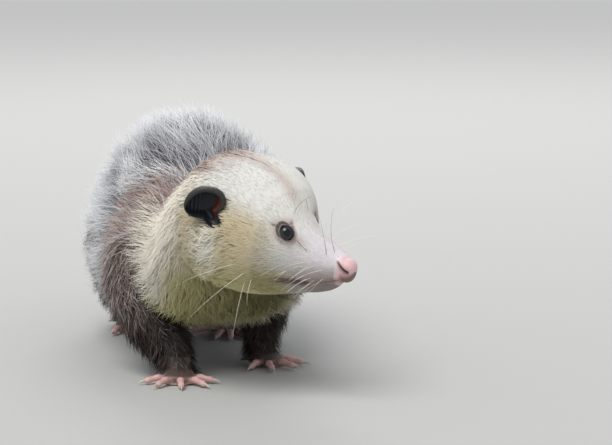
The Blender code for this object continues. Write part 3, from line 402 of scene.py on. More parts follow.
# Tail: the same from the torso to the tip, where the skin is bare.
TAIL_ROWS = (
    (0.0000, 0.2800, 0.1040, 0.0178, 0.0178),
    (0.0010, 0.3050, 0.0990, 0.0160, 0.0160),
    (0.0030, 0.3300, 0.0820, 0.0140, 0.0140),
    (0.0080, 0.3600, 0.0570, 0.0122, 0.0122),
    (0.0150, 0.3900, 0.0330, 0.0108, 0.0108),
    (0.0250, 0.4250, 0.0150, 0.0097, 0.0097),
    (0.0400, 0.4650, 0.0084, 0.0086, 0.0084),
    (0.0600, 0.5100, 0.0066, 0.0070, 0.0066),
    (0.0780, 0.5500, 0.0054, 0.0056, 0.0054),
    (0.0850, 0.5850, 0.0042, 0.0044, 0.0042),
    (0.0840, 0.6150, 0.0030, 0.0032, 0.0030),
)
# Rings of scales along the tail. Depth of a leg's coat where the leg leaves the body and at the foot.
TAIL_RINGS = 420
LEG_COAT = (0.0150, 0.0040)


def keyed(rows):
    """Rows that start with x, y, z, with their share of the whole length put in front."""
    rows = np.asarray(rows, float)
    reach = np.concatenate([[0.0], np.cumsum(np.linalg.norm(np.diff(rows[:, :3], axis=0), axis=1))])
    return np.column_stack([reach / reach[-1], rows])


def limb_surface(rows, share, angle, grow=0.0):
    """Point of a limb at a share of its length and an angle round it, its ellipses square to its path."""
    share, angle, grow = np.broadcast_arrays(np.asarray(share, float), angle, grow)
    table = keyed(rows)
    here = through(table, share)
    step = 2e-3
    ahead = through(table, np.clip(share + step, 0, 1))[..., :3]
    tangent = unit(ahead - through(table, np.clip(share - step, 0, 1))[..., :3])
    hint = np.array([1.0, 0.0, 0.0])
    side = unit(hint - tangent[..., :1] * tangent)
    other = np.cross(tangent, side)
    c, s = np.cos(angle)[..., None], np.sin(angle)[..., None]
    out = here[..., :3] + side * c * (here[..., 3:4] + grow[..., None])
    return out + other * s * (here[..., 4:5] + grow[..., None])


def leg_depth(share):
    """Depth of a leg's coat, from one value of LEG_COAT to the other by the share to the power 0.8."""
    return LEG_COAT[0] + (LEG_COAT[1] - LEG_COAT[0]) * np.asarray(share, float) ** 0.8


def leg(name):
    """A function like tube for a leg."""

    def place(share, angle, height):
        return limb_surface(LEGS[name], share, angle, height - leg_depth(share))

    return place


# Meshes.


def ring_faces(rings, sides):
    """Triangles between closed rings of points that are kept ring by ring."""
    i, j = np.meshgrid(np.arange(rings - 1), np.arange(sides), indexing="ij")
    k = (j + 1) % sides
    here, there = i * sides, (i + 1) * sides
    quads = np.stack([here + j, here + k, there + k, there + j], -1).reshape(-1, 4)
    return np.concatenate([quads[:, [0, 1, 2]], quads[:, [0, 2, 3]]])


def facing_out(points, faces):
    """The triangles of a closed surface, turned over if its volume would count as negative."""
    volume = np.linalg.det((points - points.mean(axis=0))[faces]).sum()
    return faces[:, ::-1] if volume < 0 else faces


def loft(rings):
    """Points and triangles of the closed surface through rings, with a fan on each end."""
    count, sides = rings.shape[:2]
    points = np.concatenate([rings.reshape(-1, 3), rings[[0, -1]].mean(axis=1)])
    j = np.arange(sides)
    k = (j + 1) % sides
    last = (count - 1) * sides
    low = np.stack([np.full(sides, count * sides), k, j], -1)
    high = np.stack([np.full(sides, count * sides + 1), last + j, last + k], -1)
    return points, facing_out(points, np.concatenate([ring_faces(count, sides), low, high]))


def tube_grid(rings, sides):
    """Shares 0 to 1 and angles of a whole turn for every point of a tube's rings."""
    return np.meshgrid(np.linspace(0, 1, rings), whole_turn(sides), indexing="ij")


def join(shapes):
    """Several (points, faces) as one."""
    start, points, faces = 0, [], []
    for p, f in shapes:
        points.append(p)
        faces.append(f + start)
        start += len(p)
    return np.concatenate(points), np.concatenate(faces)


def make(name, shape, material, tone=None, uv=None, normals=None, replaces=()):
    """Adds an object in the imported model's frame with its colours, its own map and its shading directions."""
    points, faces = shape
    mesh = bpy.data.meshes.new(name)
    mesh.vertices.add(len(points))
    mesh.vertices.foreach_set("co", (points - SHIFT).astype(np.float32).ravel())
    mesh.loops.add(faces.size)
    mesh.loops.foreach_set("vertex_index", faces.astype(np.int32).ravel())
    mesh.polygons.add(len(faces))
    mesh.polygons.foreach_set("loop_start", (np.arange(len(faces)) * faces.shape[1]).astype(np.int32))
    mesh.update(calc_edges=True)
    mesh.polygons.foreach_set("use_smooth", np.ones(len(faces), bool))
    if tone is not None:
        layer = mesh.color_attributes.new("tone", "FLOAT_COLOR", "POINT")
        rgba = np.ones((len(points), 4), np.float32)
        rgba[:, :3] = tone
        layer.data.foreach_set("color", rgba.ravel())
    if uv is not None:
        layer = mesh.uv_layers.new(name="OFBake")
        layer.uv.foreach_set("vector", uv[faces.ravel()].astype(np.float32).ravel())
    if normals is not None:
        mesh.normals_split_custom_set_from_vertices(normals.astype(np.float32))
    mesh.materials.append(material)
    obj = bpy.data.objects.new(name, mesh)
    bpy.context.scene.collection.objects.link(obj)
    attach(obj, "root")
    if replaces:
        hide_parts(*replaces)


def surface_material(name, roughness, specular=0.5, coat=0.0, sheen=0.0, subsurface=0.0, bump=None):
    """A material whose colour is the piece's own tone. bump is the depth and the width of a fine relief."""
    material = bpy.data.materials.new(name)
    material.use_nodes = True
    nodes, links = material.node_tree.nodes, material.node_tree.links
    shader = nodes["Principled BSDF"]
    tone = nodes.new("ShaderNodeAttribute")
    tone.attribute_name = "tone"
    links.new(tone.outputs["Color"], shader.inputs["Base Color"])
    shader.inputs["Roughness"].default_value = roughness
    shader.inputs["Specular IOR Level"].default_value = specular
    shader.inputs["Coat Weight"].default_value = coat
    shader.inputs["Coat Roughness"].default_value = 0.05
    shader.inputs["Sheen Weight"].default_value = sheen
    if subsurface:
        shader.inputs["Subsurface Weight"].default_value = subsurface
        shader.inputs["Subsurface Radius"].default_value = (0.004, 0.0015, 0.001)
        shader.inputs["Subsurface Scale"].default_value = 1.0
    if bump:
        place = nodes.new("ShaderNodeTexCoord")
        noise = nodes.new("ShaderNodeTexNoise")
        noise.inputs["Scale"].default_value = 1 / bump[1]
        noise.inputs["Detail"].default_value = 4.0
        relief_node = nodes.new("ShaderNodeBump")
        relief_node.inputs["Strength"].default_value = 0.6
        relief_node.inputs["Distance"].default_value = bump[0]
        links.new(place.outputs["Object"], noise.inputs["Vector"])
        links.new(noise.outputs["Fac"], relief_node.inputs["Height"])
        links.new(relief_node.outputs["Normal"], shader.inputs["Normal"])
    return material


# Coat: how many different clumps there are, how far at most a tuft's root is sunk in the skin, the power of
# its rise, its thickness for its width, the most triangles in a piece, and the size of a tuft's map patch.
CLUMPS = 977
TUFT_SINK = 0.0005
TUFT_RISE = 0.8
TUFT_THICK = 0.35
PIECE_MOST = 190000
MAP_PATCH = 0.003


def scatter(place, ends, counts, random, density=None):
    """Roots spread between two places along a limb by area times density, one in each equal share of it.
    """
    count = counts[1]
    side = int(math.sqrt(count * 1.5)) + 2
    f = np.linspace(*ends, side + 1)
    a = np.linspace(0, 2 * math.pi, side + 1)
    fm, am = np.meshgrid((f[1:] + f[:-1]) / 2, (a[1:] + a[:-1]) / 2, indexing="ij")
    df, da = (f[1] - f[0]) / 2, (a[1] - a[0]) / 2
    along = place(fm + df, am, 0.0) - place(fm - df, am, 0.0)
    across = place(fm, am + da, 0.0) - place(fm, am - da, 0.0)
    weight = np.linalg.norm(np.cross(along, across), axis=-1)
    if density is not None:
        weight = weight * density(fm, am)
    total = np.cumsum(weight.ravel())
    pick = np.searchsorted(total, (np.arange(count) + random.random(count)) / count * total[-1])
    pick = np.minimum(pick, total.size - 1)
    f0 = fm.ravel()[pick] + random.uniform(-df, df, count)
    a0 = am.ravel()[pick] + random.uniform(-da, da, count)
    return f0, a0


def clumped(f, a, cell_f, cells_round, random, loose):
    """Middle of the clump that each root belongs to, and three random numbers that the clump shares."""
    i = np.floor(f / cell_f).astype(int)
    cell_a = 2 * math.pi / cells_round
    shift = (i % 2) * 0.5
    j = np.floor(a / cell_a + shift).astype(int)
    table = random.random((CLUMPS, 5))
    own = table[(i * 131 + (j % cells_round) * 17) % CLUMPS]
    fc = (i + 0.5 + loose * (own[:, 0] - 0.5) * 2) * cell_f
    ac = (j - shift + 0.5 + loose * (own[:, 1] - 0.5) * 2) * cell_a
    return (fc, ac), own[:, 2:].T


def spacing(place, f, a, by_f, by_a):
    """How far a surface's point moves for each unit of f or of a."""
    step = 1e-3
    there, back = place(f + step * by_f, a + step * by_a, 0.0), place(f - step * by_f, a - step * by_a, 0.0)
    return np.linalg.norm(there - back, axis=1) / (2 * step)


def grow_tufts(place, f, a, lie, length, width, lift, random, clump=None, pull=0.5, wave=0.0, rings=3,
               root=0.0, soft=0.7, roll=0.7):
    """Tufts as thin, three-sided blades that run along a surface from their roots and rise to their lift.

    Along a tuft its place moves by its length times the cosine and sine of its lie over the surface's own
    spacing, drawn to its clump's middle by pull times the share to the power 1.5, and its height is its lift
    times the share to the power TUFT_RISE over its root's. Returns points, faces, share along each point, and
    shading directions, which lean from the blade's own sides to the surface's by soft.
    """
    count = len(f)
    by_f, by_a = (np.maximum(spacing(place, f, a, *way), 1e-4) for way in ((1, 0), (0, 1)))
    half_way = f + np.cos(lie) * length / by_f * 0.6
    by_f = np.maximum((by_f + spacing(place, half_way, a, 1, 0)) / 2, 1e-4)
    t = np.linspace(0, 1, rings + 1)
    swing = random.uniform(0, 2 * math.pi, count)
    middle = []
    for share in t:
        bend = wave * np.sin(share * 2.6 + swing) * length * share
        ff = f + (np.cos(lie) * length * share - np.sin(lie) * bend) / by_f
        aa = a + (np.sin(lie) * length * share + np.cos(lie) * bend) / by_a
        if clump is not None:
            draw = pull * share**1.5
            ff = ff + draw * (clump[0] - f)
            aa = aa + draw * (clump[1] - a)
        middle.append(place(ff, aa, root - np.minimum(TUFT_SINK, 0.4 * lift) + lift * share**TUFT_RISE))
    middle = np.stack(middle, axis=1)
    outward = unit(place(f, a, 0.002) - place(f, a, 0.0))
    tangent = unit(np.gradient(middle, axis=1))
    across = unit(np.cross(tangent, outward[:, None]))
    up = np.cross(across, tangent)
    tilt = (roll * random.uniform(-1, 1, count))[:, None, None]
    side = across * np.cos(tilt) + up * np.sin(tilt)
    top = np.cross(side, tangent)
    # Half width: slim at the root, full in the middle and closing to the tip.
    swell = 0.55 + 0.45 * np.sin(np.minimum(t * 2.2, 1.57))
    half = (width / 2)[:, None] * np.sqrt(np.clip(1 - t**2.2, 0, 1)) * swell
    body = slice(0, rings)
    half = half[:, body, None]
    left = middle[:, body] - side[:, body] * half
    right = middle[:, body] + side[:, body] * half
    ridge = middle[:, body] + top[:, body] * half * 2 * TUFT_THICK
    points = np.stack([left, right, ridge], axis=2).reshape(count, -1, 3)
    points = np.concatenate([points, middle[:, -1:]], axis=1)
    lean = unit(outward)[:, None]
    own = np.stack([-side[:, body], side[:, body], top[:, body]], axis=2).reshape(count, -1, 3)
    own = np.concatenate([own, top[:, -1:]], axis=1)
    soft = np.broadcast_to(soft, count)[:, None, None]
    normals = unit(lean * soft + own * (1 - soft))
    share = np.concatenate([np.repeat(t[body], 3), [1.0]])
    faces = []
    for r in range(rings - 1):
        for j in range(3):
            k = (j + 1) % 3
            p, q = 3 * r, 3 * r + 3
            faces += [(p + j, p + k, q + k), (p + j, q + k, q + j)]
    last = 3 * (rings - 1)
    faces += [(last + j, last + (j + 1) % 3, 3 * rings) for j in range(3)]
    faces.append((2, 1, 0))
    faces = np.asarray(faces)[:, ::-1]
    each = 3 * rings + 1
    faces = (faces[None] + (np.arange(count) * each)[:, None, None]).reshape(-1, 3)
    return points.reshape(-1, 3), faces, share, normals.reshape(-1, 3)


def coat_piece(name, place, f, a, tones, size, random, slot="coat", keep=None, reach=3.0, deep=1.0, **how):
    """Tufts with their colours and their patches of the map, in pieces of at most PIECE_MOST triangles.

    The map's u is the root's place over the surface's reach and its v is the root's angle over a whole turn,
    with a patch of MAP_PATCH round it for the tuft. The tone runs from root to tip by the share to the power
    deep.
    """
    points, faces, share, normals = grow_tufts(place, f, a, *size, random, **how)
    each = len(share)
    count = len(f)
    if keep is not None:
        good = keep(points.reshape(count, each, 3))
        points = points.reshape(count, each, 3)[good].reshape(-1, 3)
        normals = normals.reshape(count, each, 3)[good].reshape(-1, 3)
        faces = faces.reshape(count, -1, 3)[: good.sum()].reshape(-1, 3)
        tones = tuple(tone[good] for tone in tones)
        f, a = f[good], a[good]
        count = len(f)
    root, tip = tones
    mix = np.clip(share, 0, 1)[None, :, None] ** deep
    tone = (root[:, None] * (1 - mix) + tip[:, None] * mix).reshape(-1, 3)
    inside = 1 - 2 * MAP_PATCH
    u = np.clip(f / reach, 0, 1) * inside + MAP_PATCH
    v = (np.mod(a, 2 * math.pi) / (2 * math.pi)) * inside + MAP_PATCH
    corner = np.concatenate([np.tile([-0.5, 0.5, 0.0], (each - 1) // 3), [0.0]]) * MAP_PATCH
    height = (share - 0.5) * MAP_PATCH
    uv = np.stack([u[:, None] + corner[None], v[:, None] + height[None]], axis=-1).reshape(-1, 2)
    per = faces.shape[0] // max(count, 1)
    most = PIECE_MOST // per
    for index, start in enumerate(range(0, count, most)):
        stop = min(start + most, count)
        here = slice(start * each, stop * each)
        label = name if count <= most else f"{name}_{index + 1}"
        shape = (points[here], faces[: (stop - start) * per])
        make(label, shape, coat_material, tone[here], uv[here], normals[here])


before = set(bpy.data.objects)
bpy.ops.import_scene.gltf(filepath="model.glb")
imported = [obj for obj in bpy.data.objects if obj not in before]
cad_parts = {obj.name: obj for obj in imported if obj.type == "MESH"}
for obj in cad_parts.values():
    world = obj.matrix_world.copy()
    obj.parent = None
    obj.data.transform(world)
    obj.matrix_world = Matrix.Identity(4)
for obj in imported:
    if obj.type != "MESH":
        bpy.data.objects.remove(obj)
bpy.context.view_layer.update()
low_corner, high_corner = (np.array(corner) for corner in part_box("eye_right"))
SHIFT = EYES[-1][0] - (low_corner + high_corner) / 2
SHIFT[2] = 0.0

# Colours, as shares of white light sent back: the tip of the hair and its root.
FOREHEAD = (0.70, 0.695, 0.665), (0.70, 0.665, 0.61)
CHEEK = (0.66, 0.57, 0.38), (0.34, 0.24, 0.11)
# Jaw and throat: the fur's own tan, made darker and yellower as painted shade on the head's underside.
JAW_TAN_AND_SHADE = (0.71, 0.66, 0.36), (0.33, 0.26, 0.10)
CREST = (0.91, 0.91, 0.82), (0.86, 0.81, 0.69)
NECK = (0.84, 0.80, 0.70), (0.66, 0.56, 0.41)
# Chest and throat: the fur's own tan, darkened as painted shade and yellowed as painted bounce light from
# below.
CHEST_TAN_SHADE_AND_BOUNCE = (0.86, 0.82, 0.42), (0.44, 0.37, 0.13)
# Fold between the cheek and the neck: painted shade, darker tan where the fur folds.
FOLD_SHADE = (0.46, 0.38, 0.25), (0.16, 0.11, 0.05)
SNOUT = (0.76, 0.72, 0.76), (0.69, 0.60, 0.62)
SNOUT_LOW = (0.46, 0.40, 0.375), (0.38, 0.30, 0.275)
STRIPE = (0.50, 0.37, 0.33), (0.30, 0.19, 0.16)
EYE_SHADE = (0.46, 0.37, 0.35), (0.36, 0.27, 0.25)
LIDS = (0.060, 0.042, 0.040), (0.030, 0.020, 0.020)
LIPS = (0.30, 0.18, 0.16), (0.24, 0.13, 0.12)
MOUTH_LINE = (0.10, 0.05, 0.045), (0.07, 0.035, 0.03)
BAND = (0.41, 0.30, 0.27), (0.11, 0.068, 0.060)
UNDER = (0.13, 0.115, 0.13), (0.05, 0.044, 0.052)
GUARD = (0.90, 0.915, 0.945), (0.075, 0.066, 0.080)
# Legs: the legs' own near-black, made darker still as painted shade on the lower legs.
LEG_DARK_AND_SHADE = (0.045, 0.031, 0.025), (0.013, 0.009, 0.008)
# Single colours.
# Painted shade under the nose, then the nostrils' dark skin deepened by painted shade of their hollows.
NOSE_PINK, NOSE_UNDER_SHADE, NOSTRIL_DARK_AND_SHADE = (0.70, 0.45, 0.465), (0.15, 0.075, 0.06), (0.06, 0.015, 0.015)
LID_DARK, LID_RING = (0.030, 0.020, 0.020), (0.16, 0.12, 0.11)
IRIS, PUPIL = (0.018, 0.022, 0.026), (0.003, 0.003, 0.004)
# The rim colour is a lighter olive-grey: painted sheen along the top of the ear's rim.
EAR_HOLLOW, EAR_DARK, EAR_RIM_SHEEN = (0.020, 0.020, 0.024), (0.016, 0.018, 0.024), (0.030, 0.031, 0.027)
# The first colour is a painted highlight under the ear's rim; the second is the ear's own reddish skin.
EAR_PAINTED_HIGHLIGHT, EAR_WARM = (0.085, 0.100, 0.115), (0.26, 0.075, 0.040)
TAIL_DARK, TAIL_PALE = (0.05, 0.04, 0.042), (0.62, 0.46, 0.42)
TOE_PINK, FOOT_DARK, CLAW = (0.62, 0.38, 0.36), (0.07, 0.045, 0.04), (0.55, 0.47, 0.40)
# Pale tips of the band, the underfur and the legs; the underfur's is pale grey with a painted blue of shade.
BAND_PALE, UNDER_PALE_AND_BLUE_SHADE, LEG_PALE = (0.72, 0.66, 0.63), (0.50, 0.51, 0.57), (0.62, 0.58, 0.57)
WHISKER_TONES = {"pale": (0.84, 0.82, 0.70), "dark": (0.10, 0.05, 0.04)}


def toward(colour, other, weight):
    """A colour moved towards another by a weight."""
    colour, other = np.asarray(colour), np.asarray(other)
    return colour + (other - colour) * np.asarray(weight)[..., None]


# Edges of the brown band round the shoulders: side angle in degrees, and its start and end along the tube.
BAND_ROWS = np.array(
    (
        (-90, 2.030, 2.420),
        (-22, 2.035, 2.370),
        (0, 2.045, 2.310),
        (17, 2.055, 2.275),
        (30, 2.085, 2.260),
        (42, 2.080, 2.220),
        (49, 1.200, 2.180),
        (58, 0.985, 2.100),
        (68, 0.950, 2.040),
        (74, 0.950, 1.900),
        (80, 0.950, 1.300),
        (90, 0.950, 1.150),
    )
)
# Distance from the nose tip to the ends of the head, the neck and the torso.
TRAVELLED = (0.0, 0.122, 0.192, 0.476)


def travelled(s):
    """Distance along the body tube from the nose tip."""
    return np.interp(s, (0, 1, 2, 3), TRAVELLED)


def ahead(s, distance):
    """Place along the body tube that is a distance further back."""
    return np.interp(travelled(s) + distance, TRAVELLED, (0, 1, 2, 3))


def band_share(s, angle):
    """How far into the brown band a place is, how far past it, and its distance past the band's end."""
    side = side_degrees(angle)
    wander = 0.004 * np.sin(angle * 11 + 1.0) + 0.003 * np.sin(angle * 23 + 2.0)
    start, end = (travelled(np.interp(side, BAND_ROWS[:, 0], BAND_ROWS[:, edge])) + wander for edge in (1, 2))
    here = travelled(s)
    return ramp(here, start - 0.008, start + 0.010), ramp(here, end - 0.012, end + 0.010), here - end


def body_tones(s, angle, points):
    """Colours of the hair's roots and tips on the body tube, and how far into and past the band they are.

    Each marking, and each patch of painted shade and bounce light (the fold, and in part the jaw and the
    chest), is laid over the ones before it by its weight, a product of bells and ramps of the place, of the
    side angle in degrees and of the distances from the eyes, the mouth and the top.
    """
    back, side = s * HEAD_BACK, side_degrees(angle)
    tones = [np.broadcast_to(FOREHEAD[end], points.shape) for end in (0, 1)]

    def lay(pair, weight):
        for end in (0, 1):
            tones[end] = toward(tones[end], pair[end], weight)

    lay(CHEEK, ramp(back, 0.044, 0.070) * (1 - ramp(side, 20, 52)))
    # Jaw and throat on the lower side of the head: own tan plus painted shade.
    lay(JAW_TAN_AND_SHADE, ramp(back, 0.030, 0.055) * (1 - ramp(side, -30, 4)))
    lay(NECK, ramp(s, 0.84, 1.05))
    # Lower side of the neck and chest: own tan plus painted shade and painted yellow bounce light.
    lay(CHEST_TAN_SHADE_AND_BOUNCE, ramp(s, 0.80, 1.05) * (1 - ramp(side, -52, -4)))
    # Painted shade in the fold between the cheek and the neck.
    lay(FOLD_SHADE, 0.75 * bell(s, 0.91, 0.075) * bell(side, -14, 22))
    lay(CREST, 0.95 * bell(s, 0.755, 0.062) * bell(side, 2, 18))
    snout = 1 - ramp(back, 0.022, 0.052)
    lay(SNOUT, snout)
    lay(SNOUT_LOW, snout * (1 - ramp(side, -24, 16)))
    half = np.interp(back, [0.0, 0.04, 0.08, 0.12], [0.008, 0.02, 0.05, 0.05])
    from_top = np.radians(90 - side) * half
    lay(STRIPE, bell(from_top, 0.0, 0.0040) * ramp(back, 0.048, 0.062) * (1 - ramp(s, 0.95, 1.1)) * 0.50)
    lay(STRIPE, ramp(s, 0.70, 0.95) * ramp(side, 44, 76) * 0.42)
    for which, _ in SIDES:
        along, across, out = eye_offset(points, which)
        near = np.where(out > -0.006, 1.0, 0.0)
        lay(STRIPE, bell(along, 0.0090, 0.0050) * bell(across, -0.0020, 0.0032) * near * 0.80)
        lay(STRIPE, bell(along, 0.0010, 0.0040) * bell(across, 0.0075, 0.0030) * near * 0.55)
        reach = lid_reach(along, across)
        lay(EYE_SHADE, 0.60 * (1 - ramp(reach, 1.20, 2.10)) * near)
        lay(LIDS, 0.9 * (1 - ramp(reach, 1.02, 1.18)) * near)
        lay(LIDS, bell(along, -0.0078, 0.0020) * bell(across, 0.0006, 0.0008) * near * 0.80)
        lay(LIDS, bell(along, 0.0022, 0.0013) * bell(across, 0.0066, 0.0022) * near * 0.70)
    over = mouth_offset(back, angle)
    window = mouth_window(back) * np.where(s < 1, 1.0, 0.0)
    corner = ramp(back, 0.024, 0.036)
    lay(LIPS, bell(over, 0.0, 0.0036) * window * (0.30 + 0.40 * corner))
    lay(MOUTH_LINE, bell(over, 0.0, 0.0011 + 0.0008 * corner) * window * (0.35 + 0.65 * corner))
    band, behind, _ = band_share(s, angle)
    lay(BAND, band)
    lay(UNDER, behind)
    return tones[1], tones[0], band, behind


def vary(tone, random, strength, per=None):
    """Each tuft's colour times 1 plus strength times a normal number, and times its clump's share, if any."""
    factor = 1 + strength * random.standard_normal(len(tone))
    if per is not None:
        factor = factor * (1 + strength * 1.2 * (per - 0.5) * 2)
    return np.clip(tone * factor[:, None], 0.004, 0.93)


# Ear: centre of its rim in the head's directions, the way it opens, how each side's is moved, its radii, its
# depth and its wall.
EAR_CENTRE = np.array([-0.0967, 0.0523, 0.0244])
EAR_OPENS = np.array([0.58, 0.78, 0.12])
EAR_SHIFT = {1: np.array([-0.0020, 0.0052, -0.0116]), -1: np.zeros(3)}
EAR_LONG, EAR_HIGH, EAR_DEEP, EAR_WALL = 0.0155, 0.0152, 0.0125, 0.0010
# Share of an ear's wall where its curled rim starts, and how far the rim curls over.
EAR_CURL, EAR_TURN = 0.80, math.radians(165)
# How far the rim reaches in eight directions, in radii: backwards first, then up, forwards and down.
EAR_REACH = (0.89, 1.09, 1.22, 1.17, 0.56, 0.96, 0.38, 0.45)


def ear_axes():
    """Along, up and out of the ear's opening on the left side, in the head's directions."""
    opens = unit(EAR_OPENS)
    high = unit(np.array([0.0, 0.0, 1.0]) - opens[2] * opens)
    long = np.cross(high, opens)
    return (-long if long[0] > 0 else long), high, opens


def ear_reach(turn):
    """How far the ear's rim reaches in a direction, in radii, on a smooth closed curve."""
    count = len(EAR_REACH)
    steps = np.arange(-1, count + 2)
    rows = np.column_stack([steps * 2 * math.pi / count, np.take(EAR_REACH, steps % count)])
    return through(rows, turn)[..., 0]


def ear_bowl(points, side):
    """Squared share of the way from the middle of an ear's bowl to its wall, also in front of its opening."""
    long, high, opens = ear_axes()
    local = (points - NOSE_TIP) @ AXES * np.array([1.0, side, 1.0])
    away = local - EAR_CENTRE - EAR_SHIFT[side]
    u, v, w = away @ long, away @ high, away @ opens
    reach = ear_reach(np.mod(np.arctan2(v / EAR_HIGH, u / EAR_LONG), 2 * math.pi))
    across = (u / (EAR_LONG * reach + 0.0008)) ** 2 + (v / (EAR_HIGH * reach + 0.0008)) ** 2
    across = across * (1 + np.maximum(w, 0.0) / 0.009) ** 2
    return across + (np.minimum(w, 0) / (EAR_DEEP + 0.0012)) ** 2 + np.where(w < 0.013, 0.0, 9.0)


# Skin.


def nostril(points, side):
    """How deep a point of the nose lies in the comma of a nostril, from 0 to 1.

    It is the bell of the distance from the comma's line over its width, which shrinks along it.
    """
    share = np.linspace(0, 1, 24)
    path = in_head(
        -(0.0048 + 0.0062 * share),
        side * (0.0052 + 0.0020 * share + 0.0010 * np.sin(share * math.pi)),
        -0.0034 + 0.0068 * share**1.3,
    )
    width = 0.00210 * (1 - 0.76 * share**0.8) + 0.0002
    gap = np.linalg.norm(points[:, None] - path[None], axis=2) / width[None]
    return np.exp(-(gap.min(axis=1) ** 2))


def tube_skin():
    """Skin of the head, neck and torso, with sockets under the lids and the nostrils, and its colours."""
    # Distances behind the nose tip: by the cosine on the nose, then even and fine, then coarser.
    back = np.concatenate(
        [
            NOSE_PLANE * (1 - np.cos(np.linspace(0.06, math.pi / 2, 34))),
            np.linspace(0.0083, 0.0620, 128),
            np.linspace(0.0635, HEAD_BACK, 44),
        ]
    )
    s = np.concatenate([back / HEAD_BACK, np.linspace(1.04, 1.96, 22), np.linspace(2.0, 3.0, 44)])
    sm, am = np.meshgrid(s, whole_turn(168), indexing="ij")
    rings = tube(sm, am, padding(sm, am))
    flat = rings.reshape(-1, 3)
    s, angle = sm.ravel(), am.ravel()
    back = s * HEAD_BACK
    root, tip = body_tones(s, angle, flat)[:2]
    fine = 1 - ramp(s, 0.90, 1.10)
    tone = toward(root, tip, 0.35 + 0.35 * fine) * (0.85 + 0.12 * fine)[:, None]
    tone = toward(tone, NOSE_PINK, 1 - ramp(back, 0.0075, 0.0135))
    # Painted shade on the underside of the nose.
    low = (1 - ramp(side_degrees(angle), -42, -4)) * (1 - ramp(back, 0.0070, 0.0110))
    tone = toward(tone, NOSE_UNDER_SHADE, low * 0.9)
    inward = unit(in_head(-back, 0.0, HEAD_AXIS) - flat)
    near = s < 0.2
    for side, _ in SIDES:
        hole = np.zeros(len(flat))
        hole[near] = nostril(flat[near], side)
        rim = np.clip(4 * hole * (1 - hole), 0, 1) * np.where(hole < 0.5, 1.0, 0.0)
        flat = flat + inward * (0.0042 * hole - 0.0006 * rim)[:, None]
        # The nostril is sunk and painted near black: its own dark skin and painted shade in its hollow.
        tone = toward(tone, NOSTRIL_DARK_AND_SHADE, np.clip(hole * 1.25, 0, 1))
        # The socket follows the inside of the eyeball's shell, and the skin round it meets the lids.
        along, across, out = eye_offset(flat, side)
        reach = lid_reach(along, across)
        close = eye_patch(along, across, out)
        ball_out = np.sqrt(np.maximum(EYE_RADIUS**2 - np.hypot(along, across) ** 2, 1e-8))
        push = np.where(reach < 1.0, ball_out - 0.0016 - out, lid_rise(flat, side))
        tone = toward(tone, LID_RING, (1 - ramp(reach, 1.06, 1.42)) * close)
        flat = flat + EYES[side][1] * np.where(close, push, 0.0)[:, None]
        # Under the ear the skin sinks away behind the ear's own cup.
        bowl = ear_bowl(flat, side)
        opens = AXES @ (ear_axes()[2] * np.array([1.0, side, 1.0]))
        flat = flat - opens * (0.0130 * (1 - ramp(bowl, 0.9, 1.7)))[:, None]
        tone = toward(tone, EAR_HOLLOW, 1 - ramp(bowl, 0.60, 0.90))
    return loft(flat.reshape(rings.shape)), with_ends(tone)


def with_ends(tone):
    """Colours of a loft's rings with those of the middles of its two ends put after them."""
    return np.concatenate([tone, tone[:1], tone[-1:]])


def lid_rings():
    """Rims of the lids: a tube along the opening over each eyeball, drawn out at the inner corner."""
    shapes = []
    turn, ring = whole_turn(72), whole_turn(10)[None, :, None]
    for side, _ in SIDES:
        centre, outward, long, up = EYES[side]
        corner = 1 + 0.10 * bell(np.mod(turn + math.pi, 2 * math.pi), math.pi, 0.5)
        along = LID_OPEN[0] * np.cos(turn) * corner
        across = LID_OPEN[1] * np.sin(turn) - LID_DROOP * along
        reach = np.minimum(np.hypot(along, across), 0.0058)
        out = np.sqrt(np.maximum((EYE_RADIUS + 0.0001) ** 2 - reach**2, 0.0))
        path = centre + along[:, None] * long + across[:, None] * up + out[:, None] * outward
        tangent = unit(np.roll(path, -1, axis=0) - np.roll(path, 1, axis=0))
        normal = unit(path - centre)
        sideways = np.cross(tangent, normal)
        spoke = np.cos(ring) * normal[:, None] * 0.9 + np.sin(ring) * sideways[:, None]
        points = (path[:, None] + LID_TUBE * spoke).reshape(-1, 3)
        # The last ring is joined to the first one.
        faces = ring_faces(len(turn) + 1, ring.size) % len(points)
        shapes.append((points, facing_out(points, faces)))
    points, faces = join(shapes)
    return (points, faces), np.broadcast_to(LID_DARK, points.shape)


def leg_skin(name):
    """Skin of a leg, from inside the body to its foot."""
    shape = loft(leg(name)(*tube_grid(40, 40), 0.0))
    # The leg's skin takes the legs' root colour, which is partly painted shade, made lighter.
    return shape, np.broadcast_to(np.array(LEG_DARK_AND_SHADE[1]) * 1.6, shape[0].shape)


def tail_skin():
    """Naked, scaly tail: dark near the body and pinkish white behind, with rings of small scales.

    The scales are a sine along the tail times a cosine round it that turns over from ring to ring.
    """
    share, angle = tube_grid(TAIL_RINGS, 36)
    row = share * TAIL_RINGS * 0.9
    scale = np.sin(row) * np.cos(angle * 9 + np.floor(row / math.pi) * math.pi)
    rings = limb_surface(TAIL_ROWS, share, angle, 0.00016 * scale)
    rings[..., 2] = np.maximum(rings[..., 2], 0.0004)
    edge = 0.36 + 0.03 * np.sin(angle * 2 + 1.0) + 0.015 * np.sin(angle * 5 + share * 60)
    pale = ramp(share, edge - 0.02, edge + 0.03).ravel()
    tone = toward(TAIL_DARK, TAIL_PALE, pale) * (1 + 0.16 * scale.ravel()[:, None])
    return loft(rings), with_ends(tone)


